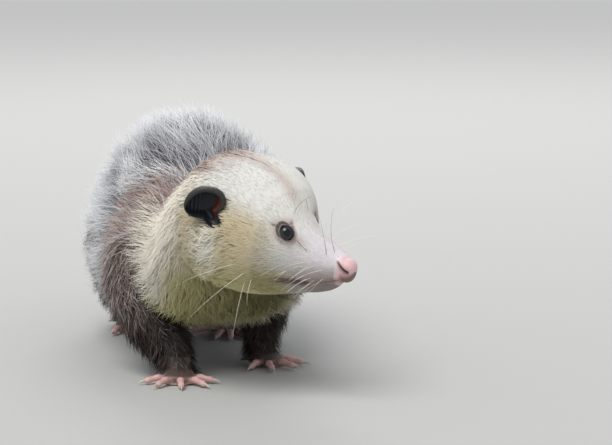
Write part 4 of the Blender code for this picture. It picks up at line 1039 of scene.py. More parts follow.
# Feet: the point under the wrist or ankle and the heading, turned to the left from straight ahead, then the
# side on which the first digit is.
FEET = {
    "front_right": ((-0.0345, -0.0070, math.radians(-10.0)), 1),
    "front_left": ((0.0365, 0.0470, math.radians(40.0)), -1),
    "hind_right": ((-0.0400, 0.2380, math.radians(-4.0)), 1),
    "hind_left": ((0.0310, 0.2070, math.radians(8.0)), -1),
}
# Palm and sole: distance ahead of that point, half width, height.
PALM_ROWS = (
    (-0.0100, 0.0050, 0.0080),
    (-0.0050, 0.0085, 0.0125),
    (0.0030, 0.0105, 0.0130),
    (0.0110, 0.0115, 0.0100),
    (0.0175, 0.0095, 0.0066),
)
SOLE_ROWS = (
    (-0.0110, 0.0050, 0.0100),
    (-0.0040, 0.0082, 0.0145),
    (0.0080, 0.0092, 0.0130),
    (0.0220, 0.0112, 0.0096),
    (0.0320, 0.0112, 0.0075),
    (0.0390, 0.0082, 0.0057),
)
# Digits: knuckle ahead and to the left, heading to the left, length, radius at the knuckle and at the tip.
FRONT_DIGITS = (
    (0.0060, 0.0090, math.radians(74.0), 0.0170, 0.0028, 0.0020),
    (0.0120, 0.0075, math.radians(38.0), 0.0190, 0.0028, 0.0020),
    (0.0140, 0.0010, math.radians(4.0), 0.0200, 0.0029, 0.0021),
    (0.0120, -0.0060, math.radians(-30.0), 0.0190, 0.0028, 0.0020),
    (0.0060, -0.0090, math.radians(-66.0), 0.0170, 0.0028, 0.0020),
)
HIND_DIGITS = (
    (0.0340, 0.0075, math.radians(34.0), 0.0180, 0.0028, 0.0020),
    (0.0360, 0.0030, math.radians(14.0), 0.0200, 0.0029, 0.0021),
    (0.0360, -0.0020, math.radians(-5.0), 0.0200, 0.0029, 0.0021),
    (0.0330, -0.0065, math.radians(-26.0), 0.0180, 0.0028, 0.0020),
)
GREAT_TOE = (0.0150, 0.0070, math.radians(72.0), 0.0230, 0.0039, 0.0033)
UP = np.array([0.0, 0.0, 1.0])
# Height of the wrist's axis over the floor, how much thinner it is than the leg's coat, size of the cells in
# which a foot is melted together, and how far from its line a digit's colour goes.
WRIST_HIGH, WRIST_THIN, FOOT_CELL, DIGIT_WIDE = 0.006, 0.0028, 0.00085, 0.0048


def tube_along(path, radius, sides, flat=1.0):
    """Closed tube along a path in level rings, its height flat times its width."""
    tangent = unit(np.gradient(path, axis=0))
    side = unit(np.cross(tangent, UP))
    other = np.cross(side, tangent)
    angle = whole_turn(sides)
    radius = np.broadcast_to(radius, len(path))[:, None, None]
    return loft(
        path[:, None]
        + radius * np.cos(angle)[None, :, None] * side[:, None]
        + radius * flat * np.sin(angle)[None, :, None] * other[:, None]
    )


def digit_radius(share, thick, thin):
    """Radius along a digit: it tapers, swells at the knuckle and the pad, and is round in front."""
    swell = 1 + 0.10 * bell(share, 0.42, 0.10) + 0.16 * bell(share, 0.86, 0.10)
    swell = swell - 0.06 * bell(share, 0.64, 0.10)
    radius = (thick + (thin - thick) * share) * swell
    return radius * np.sqrt(np.clip(1 - ((share - 0.93) / 0.085) ** 2, 0.10, 1)) ** (share > 0.93)


def foot_shapes(name):
    """Palm or sole, wrist and digits of a foot, its claws, and each digit's start, way and length."""
    (x, y, heading), mirror = FEET[name]
    forward = np.array([math.sin(heading), -math.cos(heading), 0.0])
    left = np.array([math.cos(heading), math.sin(heading), 0.0]) * mirror
    origin = np.array([x, y, 0.0])
    fore = name.startswith("front")
    rows = np.asarray(PALM_ROWS if fore else SOLE_ROWS)
    at = np.linspace(rows[0, 0], rows[-1, 0], 22)
    half, height = np.moveaxis(through(rows, at), -1, 0)
    c, s = rounded(whole_turn(28)[None], 2.4)
    level = height[:, None] * 0.40 + 0.0004
    up = level + np.where(s > 0, (height[:, None] - level) * s, (level - 0.0004) * s)
    palm = origin + at[:, None, None] * forward + (half[:, None] * c)[..., None] * left + up[..., None] * UP
    ankle = np.asarray(LEGS[name][-2])
    wrist = np.linspace(ankle[:3] + WRIST_HIGH * UP, origin + WRIST_HIGH * UP, 10)
    shapes = [loft(palm), upright_tube(wrist, ankle[3] - WRIST_THIN)]
    claws, lines = [], []
    digits = [(*digit, True) for digit in (FRONT_DIGITS if fore else HIND_DIGITS)]
    if not fore:
        digits.append((*GREAT_TOE, False))
    share = np.linspace(0.0, 1.0, 22)
    t = np.linspace(0.0, 1.0, 12)
    for onward, sideways, turn, length, thick, thin, claw in digits:
        way = forward * math.cos(turn) + left * math.sin(turn)
        radius = digit_radius(share, thick, thin)
        arch = 0.0018 * np.sin(share * math.pi)
        start = origin + onward * forward + sideways * left
        path = start + (share * length)[:, None] * way + (radius * 0.98 + arch + 0.0003)[:, None] * UP
        shapes.append(tube_along(path, radius, 16))
        lines.append((start, way, length))
        if claw:
            reach = (length - 0.0022) + t * 0.0080
            drop = 0.0030 + 0.0008 * np.sin(t * 2.2) - 0.0022 * t**1.8
            nail = start + reach[:, None] * way + drop[:, None] * UP
            claws.append(tube_along(nail, 0.00115 * (1 - t) ** 0.7 + 0.00012, 10, 1.25))
    return shapes, claws, lines


def upright_tube(path, radius):
    """Closed tube of level rings along a path."""
    angle = whole_turn(24)
    ring = np.stack([np.cos(angle), np.sin(angle), np.zeros(24)], axis=-1) * radius
    return loft(path[:, None] + ring[None])


def melted(shapes, voxel, smooth):
    """One closed surface round several overlapping ones, with softened joins, as points and triangles."""
    points, faces = join(shapes)
    mesh = bpy.data.meshes.new("melt")
    mesh.from_pydata(points.tolist(), [], faces.tolist())
    obj = bpy.data.objects.new("melt", mesh)
    bpy.context.scene.collection.objects.link(obj)
    remesh = obj.modifiers.new("remesh", "REMESH")
    remesh.mode = "VOXEL"
    remesh.voxel_size = voxel
    soften = obj.modifiers.new("soften", "SMOOTH")
    soften.factor = 0.5
    soften.iterations = smooth
    graph = bpy.context.evaluated_depsgraph_get()
    result = bpy.data.meshes.new_from_object(obj.evaluated_get(graph), depsgraph=graph)
    result.calc_loop_triangles()
    out = np.empty(len(result.vertices) * 3)
    result.vertices.foreach_get("co", out)
    tris = np.empty(len(result.loop_triangles) * 3, np.int32)
    result.loop_triangles.foreach_get("vertices", tris)
    bpy.data.objects.remove(obj)
    bpy.data.meshes.remove(mesh)
    bpy.data.meshes.remove(result)
    return out.reshape(-1, 3), tris.reshape(-1, 3)


def foot_skin(name):
    """Skin of a foot: dark on the back of the hand, pink towards the tips of the toes, with its claws."""
    shapes, claws, lines = foot_shapes(name)
    points, faces = melted(shapes, FOOT_CELL, 3)
    points[:, 2] = np.maximum(points[:, 2], 0.0003)
    pink = np.zeros(len(points))
    for start, way, length in lines:
        away = points - start
        along = away @ way
        off = np.linalg.norm(away[:, :2] - along[:, None] * way[None, :2], axis=1)
        pink = np.maximum(pink, ramp(along / length, 0.10, 0.42) * (off < DIGIT_WIDE))
    pink = np.maximum(pink, 1 - ramp(points[:, 2], 0.0012, 0.0030))
    return ((points, faces), toward(FOOT_DARK, TOE_PINK, pink)), claws


def skin_and_claws():
    """One skin of the body, the lids, the tail, the legs and the feet, and the claws."""
    pieces, claws = [tube_skin(), lid_rings(), tail_skin()], []
    for name in LEGS:
        foot, own_claws = foot_skin(name)
        pieces += [leg_skin(name), foot]
        claws += own_claws
    flesh = ["head", "nose", "neck", "torso_front", "torso_rear", "tail_base", "tail_middle", "tail_end"]
    flesh += [part + name for part in ("leg_", "foot_") for name in LEGS]
    material = surface_material("skin", 0.48, sheen=0.1, subsurface=0.12, bump=(0.0003, 0.0011))
    shape, tone = join([shape for shape, _ in pieces]), np.concatenate([tone for _, tone in pieces])
    make("skin", shape, material, tone, replaces=flesh)
    make("claws", join(claws), surface_material("claw", 0.30, coat=0.3), CLAW)


def ball(centre, radius, axis, rings=48, sides=64):
    """Sphere as rings round an axis."""
    side = unit(np.cross(axis, (0.3, 0.9, 0.1)))
    other = np.cross(axis, side)
    polar = np.linspace(0.02, math.pi - 0.02, rings)[:, None, None]
    angle = whole_turn(sides)[None, :, None]
    spoke = np.cos(angle) * side + np.sin(angle) * other
    return loft(centre + radius * (np.cos(polar) * axis + np.sin(polar) * spoke))


def eyeballs():
    """Eyeballs with a black pupil in a dark, blue-grey iris, by the cosine of the angle from their look."""
    material = surface_material("eye", 0.05, coat=0.15, specular=0.35)
    for side, name in SIDES:
        centre, outward, _, _ = EYES[side]
        points, faces = ball(centre, EYE_RADIUS, outward)
        facing = unit(points - centre) @ outward
        tone = toward(IRIS, PUPIL, ramp(facing, 0.88, 0.92) + (1 - ramp(facing, 0.60, 0.72)))
        make(f"eye_{name}_ball", (points, faces), material, tone, replaces=[f"eye_{name}"])


def ear_shape(side):
    """Thin cup of an ear: its rim curled over along the top, a warm fold and ridges inside, and its colours.

    Each of its two walls is rings of growing share: the polar angle grows up to the curl and then stays, and
    the curl adds a roll. The inner wall also carries ridges, a sine of the place, and the fold, a bell.
    The top of the rim is painted lighter as a sheen, and a painted highlight runs along the inner wall under
    it.
    """
    long, high, opens = ear_axes()
    turn = whole_turn(144)[None]
    rise = np.sin(turn)
    share = np.linspace(0.03, 1.0, 72)[:, None]
    curled = ramp(rise, -0.25, 0.45)
    polar = np.minimum(share / EAR_CURL, 1.0) * (math.radians(84) + math.radians(14) * np.clip(rise, 0, 1))
    curl = np.clip((share - EAR_CURL) / (1 - EAR_CURL), 0, 1) * EAR_TURN * curled
    roll = 0.0014 * ramp(rise, -0.25, 0.9) + 0.0002
    reach = ear_reach(turn)
    spoke_long, spoke_high = EAR_LONG * reach * np.cos(turn), EAR_HIGH * reach * rise
    size = np.hypot(spoke_long, spoke_high)
    spoke = (spoke_long / size)[..., None] * long + (spoke_high / size)[..., None] * high
    waves = np.sin(np.sin(polar) * spoke_long / 0.0028 * 2 * math.pi)
    ridges = 0.00035 * waves * bell(share, 0.45, 0.26) * ramp(np.cos(turn), -0.5, 0.1)
    fold = 0.0016 * bell(share, 0.46, 0.12) * bell(np.cos(turn), -0.80, 0.30)
    shells, tones = [], []
    for offset in (EAR_WALL / 2, -EAR_WALL / 2):
        thin = offset * (1 - 0.5 * ramp(share, 0.8, 1.0))
        inner = -(ridges + fold) if offset < 0 else 0.0
        across = np.sin(polar) * (size + inner + thin * np.cos(curl)) - roll * (1 - np.cos(curl))
        out = -np.cos(polar) * (EAR_DEEP + thin + inner) + (roll + thin) * np.sin(curl)
        local = EAR_CENTRE + EAR_SHIFT[side] + across[..., None] * spoke + out[..., None] * opens
        shells.append(local * np.array([1.0, side, 1.0]))
        # Painted sheen: the top of the rim is painted lighter.
        tone = toward(EAR_DARK, EAR_RIM_SHEEN, ramp(share, 0.68, 0.84) * ramp(rise, 0.0, 0.6))
        if offset < 0:
            # A painted highlight along the inner wall just under the curled rim.
            tone = toward(tone, EAR_PAINTED_HIGHLIGHT, bell(share, 0.70, 0.07) * ramp(rise, 0.2, 0.8) * 0.8)
            warm = bell(share, 0.48, 0.20) * bell(np.cos(turn), -0.80, 0.34) * bell(rise, 0.25, 0.50)
            tone = toward(tone, EAR_WARM, warm)
        tones.append(tone)
    rings = np.concatenate([shells[0], shells[1][::-1]])
    tone = np.concatenate([tones[0], tones[1][::-1]]).reshape(-1, 3)
    return loft(in_head(rings[..., 0], rings[..., 1], rings[..., 2])), with_ends(tone)


def ears():
    """The cups of both ears."""
    material = surface_material("ear", 0.50, coat=0.03, specular=0.4, bump=(0.0002, 0.0008))
    for side, name in SIDES:
        shape, tone = ear_shape(side)
        make(f"ear_{name}_cup", shape, material, tone, replaces=[f"ear_{name}"])


# Fur of each region. Place, length, width and lift are worked out from tables along the body tube.


def clear_of_face(points):
    """Whether every point of a tuft stays out of the ears and the eyes."""
    flat = points.reshape(-1, 3)
    bad = (ear_bowl(flat, 1) < 0.85) | (ear_bowl(flat, -1) < 0.85)
    for side, _ in SIDES:
        along, across, out = eye_offset(flat, side)
        bad |= (lid_reach(along, across) < 1.02) & (out > 0)
    bad = bad.reshape(len(points), -1)
    return ~bad.any(axis=1)


def head_lie(f, a):
    """The way the face's fur lies: back along the head, fanning down over the cheeks."""
    side = mirrored(a)
    down = ramp(f, 0.45, 0.95) * (0.30 + 0.45 * bell(side, math.radians(-20), 0.7))
    return -down * np.sign(np.cos(a))


def short_by_eyes(points):
    """Share of its length that a tuft keeps round an eye: its distance past 5 mm over 7 mm, at least 0.28."""
    keep = np.ones(len(points))
    for side, _ in SIDES:
        along, across, out = eye_offset(points, side)
        own = np.clip((np.hypot(along, across) - 0.0050) / 0.0070, 0.28, 1.0)
        keep = np.minimum(keep, np.where(out > -0.008, own, 1.0))
    return keep


def by_eyes(s, angle):
    """1 close to the eyes, where the tufts are short and so stand denser."""
    points = tube(s, angle, 0.0)
    near = np.zeros(np.shape(s))
    for side, _ in SIDES:
        along, across, out = eye_offset(points, side)
        near = np.maximum(near, (1 - ramp(np.hypot(along, across), 0.0075, 0.0125)) * (out > -0.006))
    return near


def raised(f, a, points, lift):
    """Height of the tufts' roots over the plain skin, and what is left of their lift over it.

    The lift loses the skin's padding, but keeps 0.35 of itself and 0.4 mm.
    """
    base = padding(f, a)
    lift = np.maximum(lift - base, 0.35 * lift + 0.0004)
    for side, _ in SIDES:
        base = base + lid_rise(points, side)
    return base, lift


def head_coat():
    """Fur of the head: close and fine on the snout, longer and waved on the cheeks and the crown."""
    random = np.random.default_rng(31)
    face_coat(random)
    crown_coat(random)


def face_coat(random):
    """Close, flat fur from the nose over the eyes, with none in the line of the mouth."""
    f, a = scatter(tube, (0.095, 0.56), (7000, 27500), random,
                   lambda s, t: 1 + 1.2 * (1 - ramp(s, 0.15, 0.45)) + 4.5 * by_eyes(s, t))
    back = f * HEAD_BACK
    good = (np.abs(mouth_offset(back, a)) > 0.0012) | (mouth_window(back) < 0.3)
    f, a = f[good], a[good]
    place = tube(f, a, 0.0)
    root, tip = body_tones(f, a, place)[:2]
    near = short_by_eyes(place)
    length = np.interp(f, [0.09, 0.25, 0.45, 0.60], [0.0016, 0.0030, 0.0052, 0.0078]) * near
    length = length * random.uniform(0.8, 1.2, len(f))
    lift = coat_depth(f) * random.uniform(0.6, 1.15, len(f)) * near**0.5
    width = np.interp(f, [0.09, 0.6], [0.00030, 0.00046])
    lie = head_lie(f, a) + random.normal(0, 0.14, len(f))
    base, lift = raised(f, a, place, lift)
    tones = (vary(root, random, 0.05), vary(tip, random, 0.05))
    coat_piece("coat_face", tube, f, a, tones, (lie, length, width, lift), random, keep=clear_of_face,
               rings=2, wave=0.05, soft=0.90, deep=0.7, roll=0.4, root=base)


def crown_coat(random):
    """Longer fur of the crown, smooth on top, and of the cheeks, where it is waved and stands in clumps."""
    f, a = scatter(tube, (0.50, 1.20), (8000, 25000), random, lambda s, t: 1 - 0.9 * ramp(s, 0.98, 1.20))
    place = tube(f, a, 0.0)
    root, tip = body_tones(ahead(f, 0.004), a, place)[:2]
    side = side_degrees(a)
    cheek = ramp(f, 0.50, 0.75) * (1 - ramp(side, 8, 42))
    smooth = 1 - cheek
    crest = bell(f, 0.74, 0.08) * bell(side, 0, 28)
    length = np.interp(f, [0.5, 0.7, 1.06, 1.2], [0.0068, 0.0092, 0.0160, 0.0180])
    length = length * (1 + 0.35 * cheek + 0.5 * crest)
    clump, (lean, high, long) = clumped(f, a, 0.046, 62, random, loose=0.7)
    length = length * random.uniform(0.8, 1.2, len(f)) * (1 + (0.7 * long - 0.35) * cheek)
    length = length * short_by_eyes(place)
    spread = random.uniform(0.60, 1.12, len(f))
    lift = coat_depth(f) * (spread * cheek + (0.78 + 0.3 * (spread - 0.60)) * smooth)
    lift = lift * (1 + (high - 0.5) * 0.6 * cheek) + 0.0024 * cheek * high + 0.0030 * crest
    base, lift = raised(f, a, place, lift)
    width = (0.00050 + 0.00022 * smooth) * random.uniform(0.8, 1.25, len(f))
    lie = head_lie(f, a) + random.normal(0, 0.07, len(f)) + (lean - 0.5) * (0.10 + 0.9 * cheek)
    root = vary(root, random, 0.06, 0.5 + (high - 0.5) * cheek)
    tip = vary(tip, random, 0.04, 0.5 + (long - 0.5) * cheek * 2)
    coat_piece("coat_head", tube, f, a, (root, tip), (lie, length, width, lift), random, keep=clear_of_face,
               clump=clump, pull=0.46 * cheek + 0.10, wave=0.04 + 0.30 * cheek,
               soft=0.93 - 0.28 * cheek, deep=0.8, roll=0.12 + 0.58 * cheek, root=base)


def body_lie(f, a, random):
    """The way the long coat lies: back along the body, drooping down the neck's sides."""
    side = mirrored(a)
    down = np.interp(f, [1.0, 1.8, 2.3], [0.40, 0.30, 0.05]) * np.cos(side)
    return -down * np.sign(np.cos(a)) + random.normal(0, 0.12, len(f))


def body_coat():
    """Cream coat of the neck, dark woolly underfur of the body and the long white guard hairs over it."""
    random = np.random.default_rng(32)
    neck_coat(random)
    under_coat(random)
    guard_coat(random)


def neck_coat(random):
    """Cream fur of the neck and brown fur of the shoulder band, with pale tips among its hairs."""
    f, a = scatter(tube, (0.84, 2.34), (6000, 21000), random, lambda s, t: ramp(s, 0.80, 1.04))
    place = tube(f, a, 0.0)
    root, tip, band, behind = body_tones(ahead(f, 0.010), a, place)
    good = behind < 0.80
    f, a, place, root, tip, band = (values[good] for values in (f, a, place, root, tip, band))
    side = side_degrees(a)
    low = 1 - ramp(side, -60, -15)
    clump, (lean, dark, long) = clumped(f, a, 0.10, 44, random, loose=0.6)
    length = np.interp(f, [0.84, 1.0, 1.5, 2.1], [0.0130, 0.0180, 0.0230, 0.0260])
    length = length * random.uniform(0.8, 1.2, len(f)) * (0.85 + 0.3 * long)
    lift = coat_depth(f) * random.uniform(0.70, 1.15, len(f)) + 0.0025 * low
    width = 0.00064 * random.uniform(0.7, 1.3, len(f))
    lie = body_lie(f, a, random) + (lean - 0.5) * (0.30 + 0.40 * low)
    pale = (random.random(len(f)) < 0.62 - 0.46 * ramp(side, 10, 50)) * band
    tip = toward(tip, BAND_PALE, 0.75 * pale)
    base, lift = raised(f, a, place, lift)
    tones = (vary(root, random, 0.08, dark), vary(tip, random, 0.05, long * 0.6 + 0.2))
    coat_piece("coat_neck", tube, f, a, tones, (lie, length, width, lift), random, keep=clear_of_face,
               clump=clump, pull=0.28 + 0.36 * low, wave=0.12 + 0.10 * low, soft=0.78, deep=0.85, root=base)


def under_coat(random):
    """Wide, dark tufts of the underfur behind the band, paler at the sides."""
    f, a = scatter(tube, (1.10, 2.995), (4000, 12000), random)
    root, tip, _, behind = body_tones(ahead(f, 0.010), a, tube(f, a, 0.0))
    good = behind > 0.15
    f, a, root, tip = f[good], a[good], root[good], tip[good]
    # Paler tips low on the sides: pale grey fur, its blue tint painted shade light.
    tip = toward(tip, UNDER_PALE_AND_BLUE_SHADE, 0.75 * (1 - ramp(side_degrees(a), 0, 52)))
    clump, (lean, dark, _) = clumped(f, a, 0.055, 44, random, loose=0.6)
    length = 0.0240 * np.interp(f, [2.0, 2.8, 3.0], [1.0, 1.0, 0.45]) * random.uniform(0.75, 1.2, len(f))
    lift = coat_depth(f) * random.uniform(0.45, 0.86, len(f))
    width = 0.0016 * random.uniform(0.7, 1.3, len(f))
    lie = body_lie(f, a, random) + (lean - 0.5) * 0.5
    tones = (vary(root, random, 0.12), vary(tip, random, 0.15, dark))
    coat_piece("coat_under", tube, f, a, tones, (lie, length, width, lift), random, clump=clump,
               pull=0.45, rings=2, wave=0.10, soft=0.6)


def guard_coat(random):
    """Long guard hairs with white tips, in patches: most behind the band and low down, few on the back."""
    f, a = scatter(tube, (1.10, 2.995), (6000, 23000), random)
    band, behind, past = band_share(ahead(f, 0.002), a)
    clump, own = clumped(f, a, 0.062, 40, random, loose=0.8)
    side = side_degrees(a)
    patch = 0.5 + 0.5 * np.sin(f * 31 + 2.0 * np.sin(a * 3 + 1)) * np.sin(a * 7 + 3.0 * np.sin(f * 9))
    light = bell(past, 0.014, 0.018) + 0.8 * (1 - ramp(side, -15, 40))
    dark = bell(past, 0.066, 0.032) * ramp(side, 30, 58)
    chance = (0.34 + 0.45 * own[1] + 0.30 * patch) * ramp(behind, 0.02, 0.7) * (1 - 0.75 * dark)
    chance = np.maximum(chance + 0.5 * light * behind, 0.12 * band)
    good = random.random(len(f)) < chance
    f, a, behind, patch, light, dark, lean, long, *clump = (
        values[good] for values in (f, a, behind, patch, light, dark, own[0], own[2], *clump)
    )
    patch = np.clip(patch + light - 0.8 * dark, 0, 1)
    near_tail = np.interp(f, [2.0, 2.8, 3.0], [1.0, 0.9, 0.55])
    length = 0.0400 * near_tail * random.uniform(0.65, 1.2, len(f)) * (0.55 + 0.45 * behind)
    length = length * (0.8 + 0.4 * long)
    lift = coat_depth(f) + 0.0045 * near_tail * behind
    lift = lift * random.uniform(0.72, 1.14, len(f)) * (0.9 + 0.2 * long)
    width = 0.00052 * random.uniform(0.7, 1.3, len(f))
    lie = body_lie(f, a, random) + (lean - 0.5) * 0.9
    low = (1 - ramp(side_degrees(a), -75, -45))[:, None]
    bright = 0.68 + 0.36 * patch[:, None] - 0.16 * dark[:, None]
    tip = np.array(GUARD[0]) * (1 - 0.35 * low) * bright
    root = np.array(GUARD[1]) * (1 - 0.25 * low)
    tones = (vary(root, random, 0.10), vary(tip, random, 0.08))
    coat_piece("coat_guard", tube, f, a, tones, (lie, length, width, lift), random, clump=clump,
               pull=0.62, wave=0.08, soft=0.55, deep=1.3)


def leg_coat():
    """Fur of the legs: long and lighter where it runs out of the body's coat, short and dark below."""
    for index, name in enumerate(LEGS):
        random = np.random.default_rng(40 + index)
        place = leg(name)
        f, a = scatter(place, (0.04, 0.99), (1200, 5200), random)
        clump, (lean, light, high) = clumped(f, a, 0.09, 12, random, loose=0.6)
        length = np.interp(f, [0.0, 0.5, 0.85, 1.0], [0.0280, 0.0220, 0.0150, 0.0100])
        length = length * random.uniform(0.7, 1.2, len(f))
        lift = leg_depth(f) + 0.0010 + 0.0040 * ramp(f, 0.35, 0.75)
        lift = lift * random.uniform(0.55, 1.15, len(f)) * (0.85 + 0.3 * high)
        width = np.interp(f, [0.0, 1.0], [0.00075, 0.00060]) * random.uniform(0.7, 1.3, len(f))
        lie = random.normal(0, 0.18, len(f)) + (lean - 0.5) * 0.6
        upper = 1 - ramp(f, 0.22, 0.62)
        # The legs' tip and root colours are their own near-black, darkened further by painted shade.
        tip = toward(np.array(LEG_DARK_AND_SHADE[0]) * (0.7 + 0.8 * light[:, None]), np.array(BAND[0]) * 0.50, upper)
        root = toward(LEG_DARK_AND_SHADE[1], BAND[1], upper)
        pale = (random.random(len(f)) < 0.10 + 0.25 * upper) * (0.35 + 0.45 * upper)
        tip = toward(tip, LEG_PALE, pale)
        tones = (vary(root, random, 0.12), vary(tip, random, 0.12))
        coat_piece(f"coat_leg_{name}", place, f, a, tones, (lie, length, width, lift), random, "leg_coat",
                   reach=1.0, clump=clump, pull=0.4, rings=2, wave=0.10)


def tail_root_coat():
    """Fur that runs on over the root of the tail and thins out."""
    random = np.random.default_rng(50)

    def place(f, a, height):
        return limb_surface(TAIL_ROWS, f, a, height)

    f, a = scatter(place, (0.0, 0.17), (500, 2600), random, lambda s, t: 1 - 0.9 * ramp(s, 0.06, 0.17))
    length = np.interp(f, [0.0, 0.17], [0.0300, 0.0060]) * random.uniform(0.8, 1.2, len(f))
    lift = np.interp(f, [0.0, 0.05, 0.17], [0.0030, 0.0042, 0.0010]) * random.uniform(0.7, 1.2, len(f))
    width = 0.0008 * random.uniform(0.7, 1.3, len(f))
    lie = random.normal(0, 0.18, len(f))
    white = (random.random(len(f)) < 0.4) * (1 - ramp(f, 0.05, 0.14))
    tip = toward(np.array(UNDER[0]) * 1.4, np.array(GUARD[0]) * 0.8, white)
    root = np.broadcast_to(UNDER[1], tip.shape)
    tones = (vary(root, random, 0.1), vary(tip, random, 0.15))
    coat_piece("coat_tail", place, f, a, tones, (lie, length, width, lift), random,
               reach=1.0, rings=2, soft=0.6)


# Whiskers in the head's directions, in millimetres: root, way and bend, then colour and whether both sides
# have it. Then their radii at the root, in metres.
WHISKERS = (
    ((-65.3, -37.5, -6.4), (-39.8, -35.3, -12.9), (4.8, -0.2, -7.8), "pale", True),
    ((-65.3, -37.2, -13.1), (-27.7, -35.7, -32.2), (5.2, 2.1, -3.6), "pale", True),
    ((-63.6, -34.0, -19.0), (-0.4, -9.1, -18.5), (3.5, 2.4, -0.3), "pale", True),
    ((-68.1, -36.0, -21.9), (2.8, -15.3, -36.3), (2.0, 1.4, -0.3), "pale", True),
    ((-15.5, -4.0, 6.5), (-16.8, -2.5, 30.3), (8.9, 5.3, 1.6), "dark", False),
    ((-20.1, -8.6, 5.8), (-10.3, 4.7, 25.7), (-1.8, -1.7, -0.7), "dark", False),
    ((-52.1, -8.5, 25.3), (-1.6, 8.4, 20.0), (8.1, 3.2, -5.8), "dark", True),
    ((-42.5, -14.0, 11.0), (12.4, 1.4, -9.0), (0.5, 2.2, 0.6), "dark", True),
    ((-28.3, 5.9, 10.4), (14.4, 17.0, 24.6), (4.4, -0.2, -7.1), "pale", False),
    ((-24.0, 7.7, 6.6), (19.3, 16.8, 17.7), (2.1, -1.1, -5.6), "pale", False),
    ((-19.6, 7.6, 3.7), (9.6, 9.0, 12.3), (1.1, -0.3, -2.2), "pale", False),
    ((-34.9, 8.8, 17.4), (10.7, 11.9, 29.0), (4.1, 0.6, -5.0), "pale", False),
    ((-37.4, 9.7, 18.2), (7.5, 8.1, 30.9), (0.8, 0.2, -0.7), "pale", False),
    ((-30.8, 7.1, 13.8), (7.6, 10.8, 25.2), (0.7, 0.2, -0.6), "pale", False),
)


WHISKER_THICK = {"pale": 0.00013, "dark": 0.00012}


def whisker(start, way, bend, thick):
    """Closed, tapered hair along root plus way times the share plus bend times its square."""
    t = np.linspace(0, 1, 14)[:, None]
    path = start + way * t + bend * t**2
    tangent = unit(np.gradient(path, axis=0))
    side = unit(np.cross(tangent, (0.1, 0.2, 1.0)))
    other = np.cross(side, tangent)
    angle = whole_turn(5)[None, :, None]
    radius = (thick * (1 - t) ** 0.8 + 0.00004)[:, None]
    return loft(path[:, None] + radius * (np.cos(angle) * side[:, None] + np.sin(angle) * other[:, None]))


def whiskers():
    """Long bristles of the cheeks, the muzzle and the brow, and short ones along the lips."""
    random = np.random.default_rng(60)
    groups = {"pale": [], "dark": []}
    for root, way, bend, colour, both in WHISKERS:
        for side in (1, -1) if both else (1,):
            # The table holds the right side of the paired ones and the left side of the others.
            flip = np.array([0.001, 0.001 * (-side if both else side), 0.001])
            start, end, arc = (np.array(values) * flip for values in (root, way, bend))
            groups[colour].append(whisker(in_head(*start), AXES @ end, AXES @ arc, WHISKER_THICK[colour]))
    for side, _ in SIDES:
        for _ in range(16):
            s = random.uniform(0.016, 0.046) / HEAD_BACK
            angle = math.radians(random.uniform(-34, 8))
            turn = angle if side > 0 else math.pi - angle
            start = tube(s, turn, 0.0)
            normal = unit(tube(s, turn, 0.002) - start)
            way = normal * 0.8 - AXES[:, 0] * random.uniform(0.5, 1.1) - AXES[:, 2] * random.uniform(0.1, 0.6)
            long = random.uniform(0.010, 0.020)
            groups["pale"].append(whisker(start, unit(way) * long, -AXES[:, 2] * long * 0.25, 0.00011))
    for name, colour in WHISKER_TONES.items():
        make(f"whiskers_{name}", join(groups[name]), coat_material, colour)


# Floor, light and camera.
FOCAL, SENSOR = 174.9, 36.0
CAMERA_TURN, CAMERA_DROP, CAMERA_FAR = math.radians(11.0), math.radians(8.0), 2.2
# In pixels: where the working origin falls, the middle of the picture and the focal length.
ORIGIN_IN_PICTURE, PICTURE_MIDDLE, PICTURE_FOCAL = (224.0, 378.0), (306.0, 222.5), 2973.0


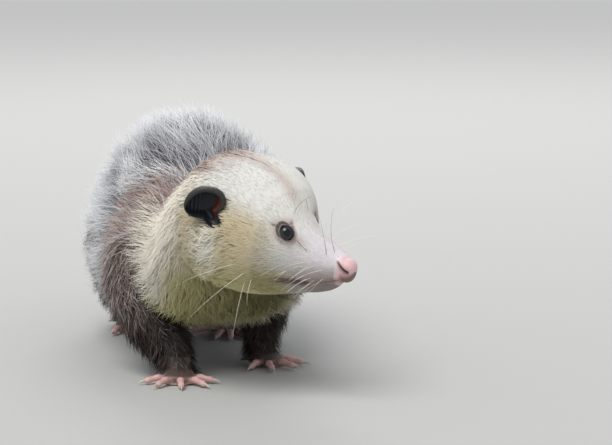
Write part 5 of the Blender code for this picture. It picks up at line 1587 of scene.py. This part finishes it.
def add_stage():
    """Pale floor, a soft light from the upper left, a light from behind, and an even sky."""
    mesh = bpy.data.meshes.new("floor")
    far = 40.0
    mesh.from_pydata([(-far, -far, 0), (far, -far, 0), (far, far, 0), (-far, far, 0)], [], [(0, 1, 2, 3)])
    floor = bpy.data.objects.new("floor", mesh)
    material = bpy.data.materials.new("floor")
    material.use_nodes = True
    shader = material.node_tree.nodes["Principled BSDF"]
    shader.inputs["Base Color"].default_value = (0.46, 0.46, 0.45, 1)
    shader.inputs["Roughness"].default_value = 0.9
    mesh.materials.append(material)
    bpy.context.scene.collection.objects.link(floor)
    world = bpy.data.worlds.new("sky")
    bpy.context.scene.world = world
    world.use_nodes = True
    world.node_tree.nodes["Background"].inputs["Color"].default_value = (0.93, 0.96, 1.0, 1)
    world.node_tree.nodes["Background"].inputs["Strength"].default_value = 0.60
    target = np.array([0.0, -0.10, 0.10])
    for name, kind, place, size, power, colour in (
        ("key", "SUN", (-0.9, -1.3, 2.2), math.radians(35), 2.3, (1.0, 0.99, 0.97)),
        ("back", "AREA", (0.5, 1.9, 1.9), 1.4, 22.0, (1.0, 0.99, 0.97)),
    ):
        light = bpy.data.lights.new(name, kind)
        if kind == "SUN":
            light.angle = size
        else:
            light.shape, light.size = "DISK", size
        light.energy = power
        light.color = colour
        lamp = bpy.data.objects.new(name, light)
        aim(lamp, np.array(place), target - np.array(place))
        bpy.context.scene.collection.objects.link(lamp)


def aim(obj, place, way):
    """Puts a lamp or a camera at a place, looking along a direction."""
    back = -unit(np.asarray(way, float))
    right = unit(np.cross(UP, back))
    above = np.cross(back, right)
    matrix = np.eye(4)
    matrix[:3, 0], matrix[:3, 1], matrix[:3, 2], matrix[:3, 3] = right, above, back, place
    obj.matrix_world = Matrix(matrix.tolist())


def add_camera():
    """The camera at the photograph's angle: the working origin falls on its place in the picture."""
    turn, drop = CAMERA_TURN, CAMERA_DROP
    way = np.array([math.sin(turn) * math.cos(drop), math.cos(turn) * math.cos(drop), -math.sin(drop)])
    right = np.array([math.cos(turn), -math.sin(turn), 0.0])
    up = np.cross(right, way)
    across = (ORIGIN_IN_PICTURE[0] - PICTURE_MIDDLE[0]) / PICTURE_FOCAL
    down = (ORIGIN_IN_PICTURE[1] - PICTURE_MIDDLE[1]) / PICTURE_FOCAL
    place = -CAMERA_FAR * (across * right - down * up + way)
    data = bpy.data.cameras.new("camera")
    data.lens, data.sensor_width = FOCAL, SENSOR
    data.clip_end = 60.0
    camera = bpy.data.objects.new("camera", data)
    aim(camera, place - SHIFT, way)
    bpy.context.scene.collection.objects.link(camera)
    bpy.context.scene.camera = camera


coat_material = surface_material("coat", 0.62, specular=0.25)
skin_and_claws()
eyeballs()
ears()
head_coat()
body_coat()
leg_coat()
tail_root_coat()
whiskers()
add_stage()
add_camera()
bpy.context.scene.view_settings.view_transform = "Standard"
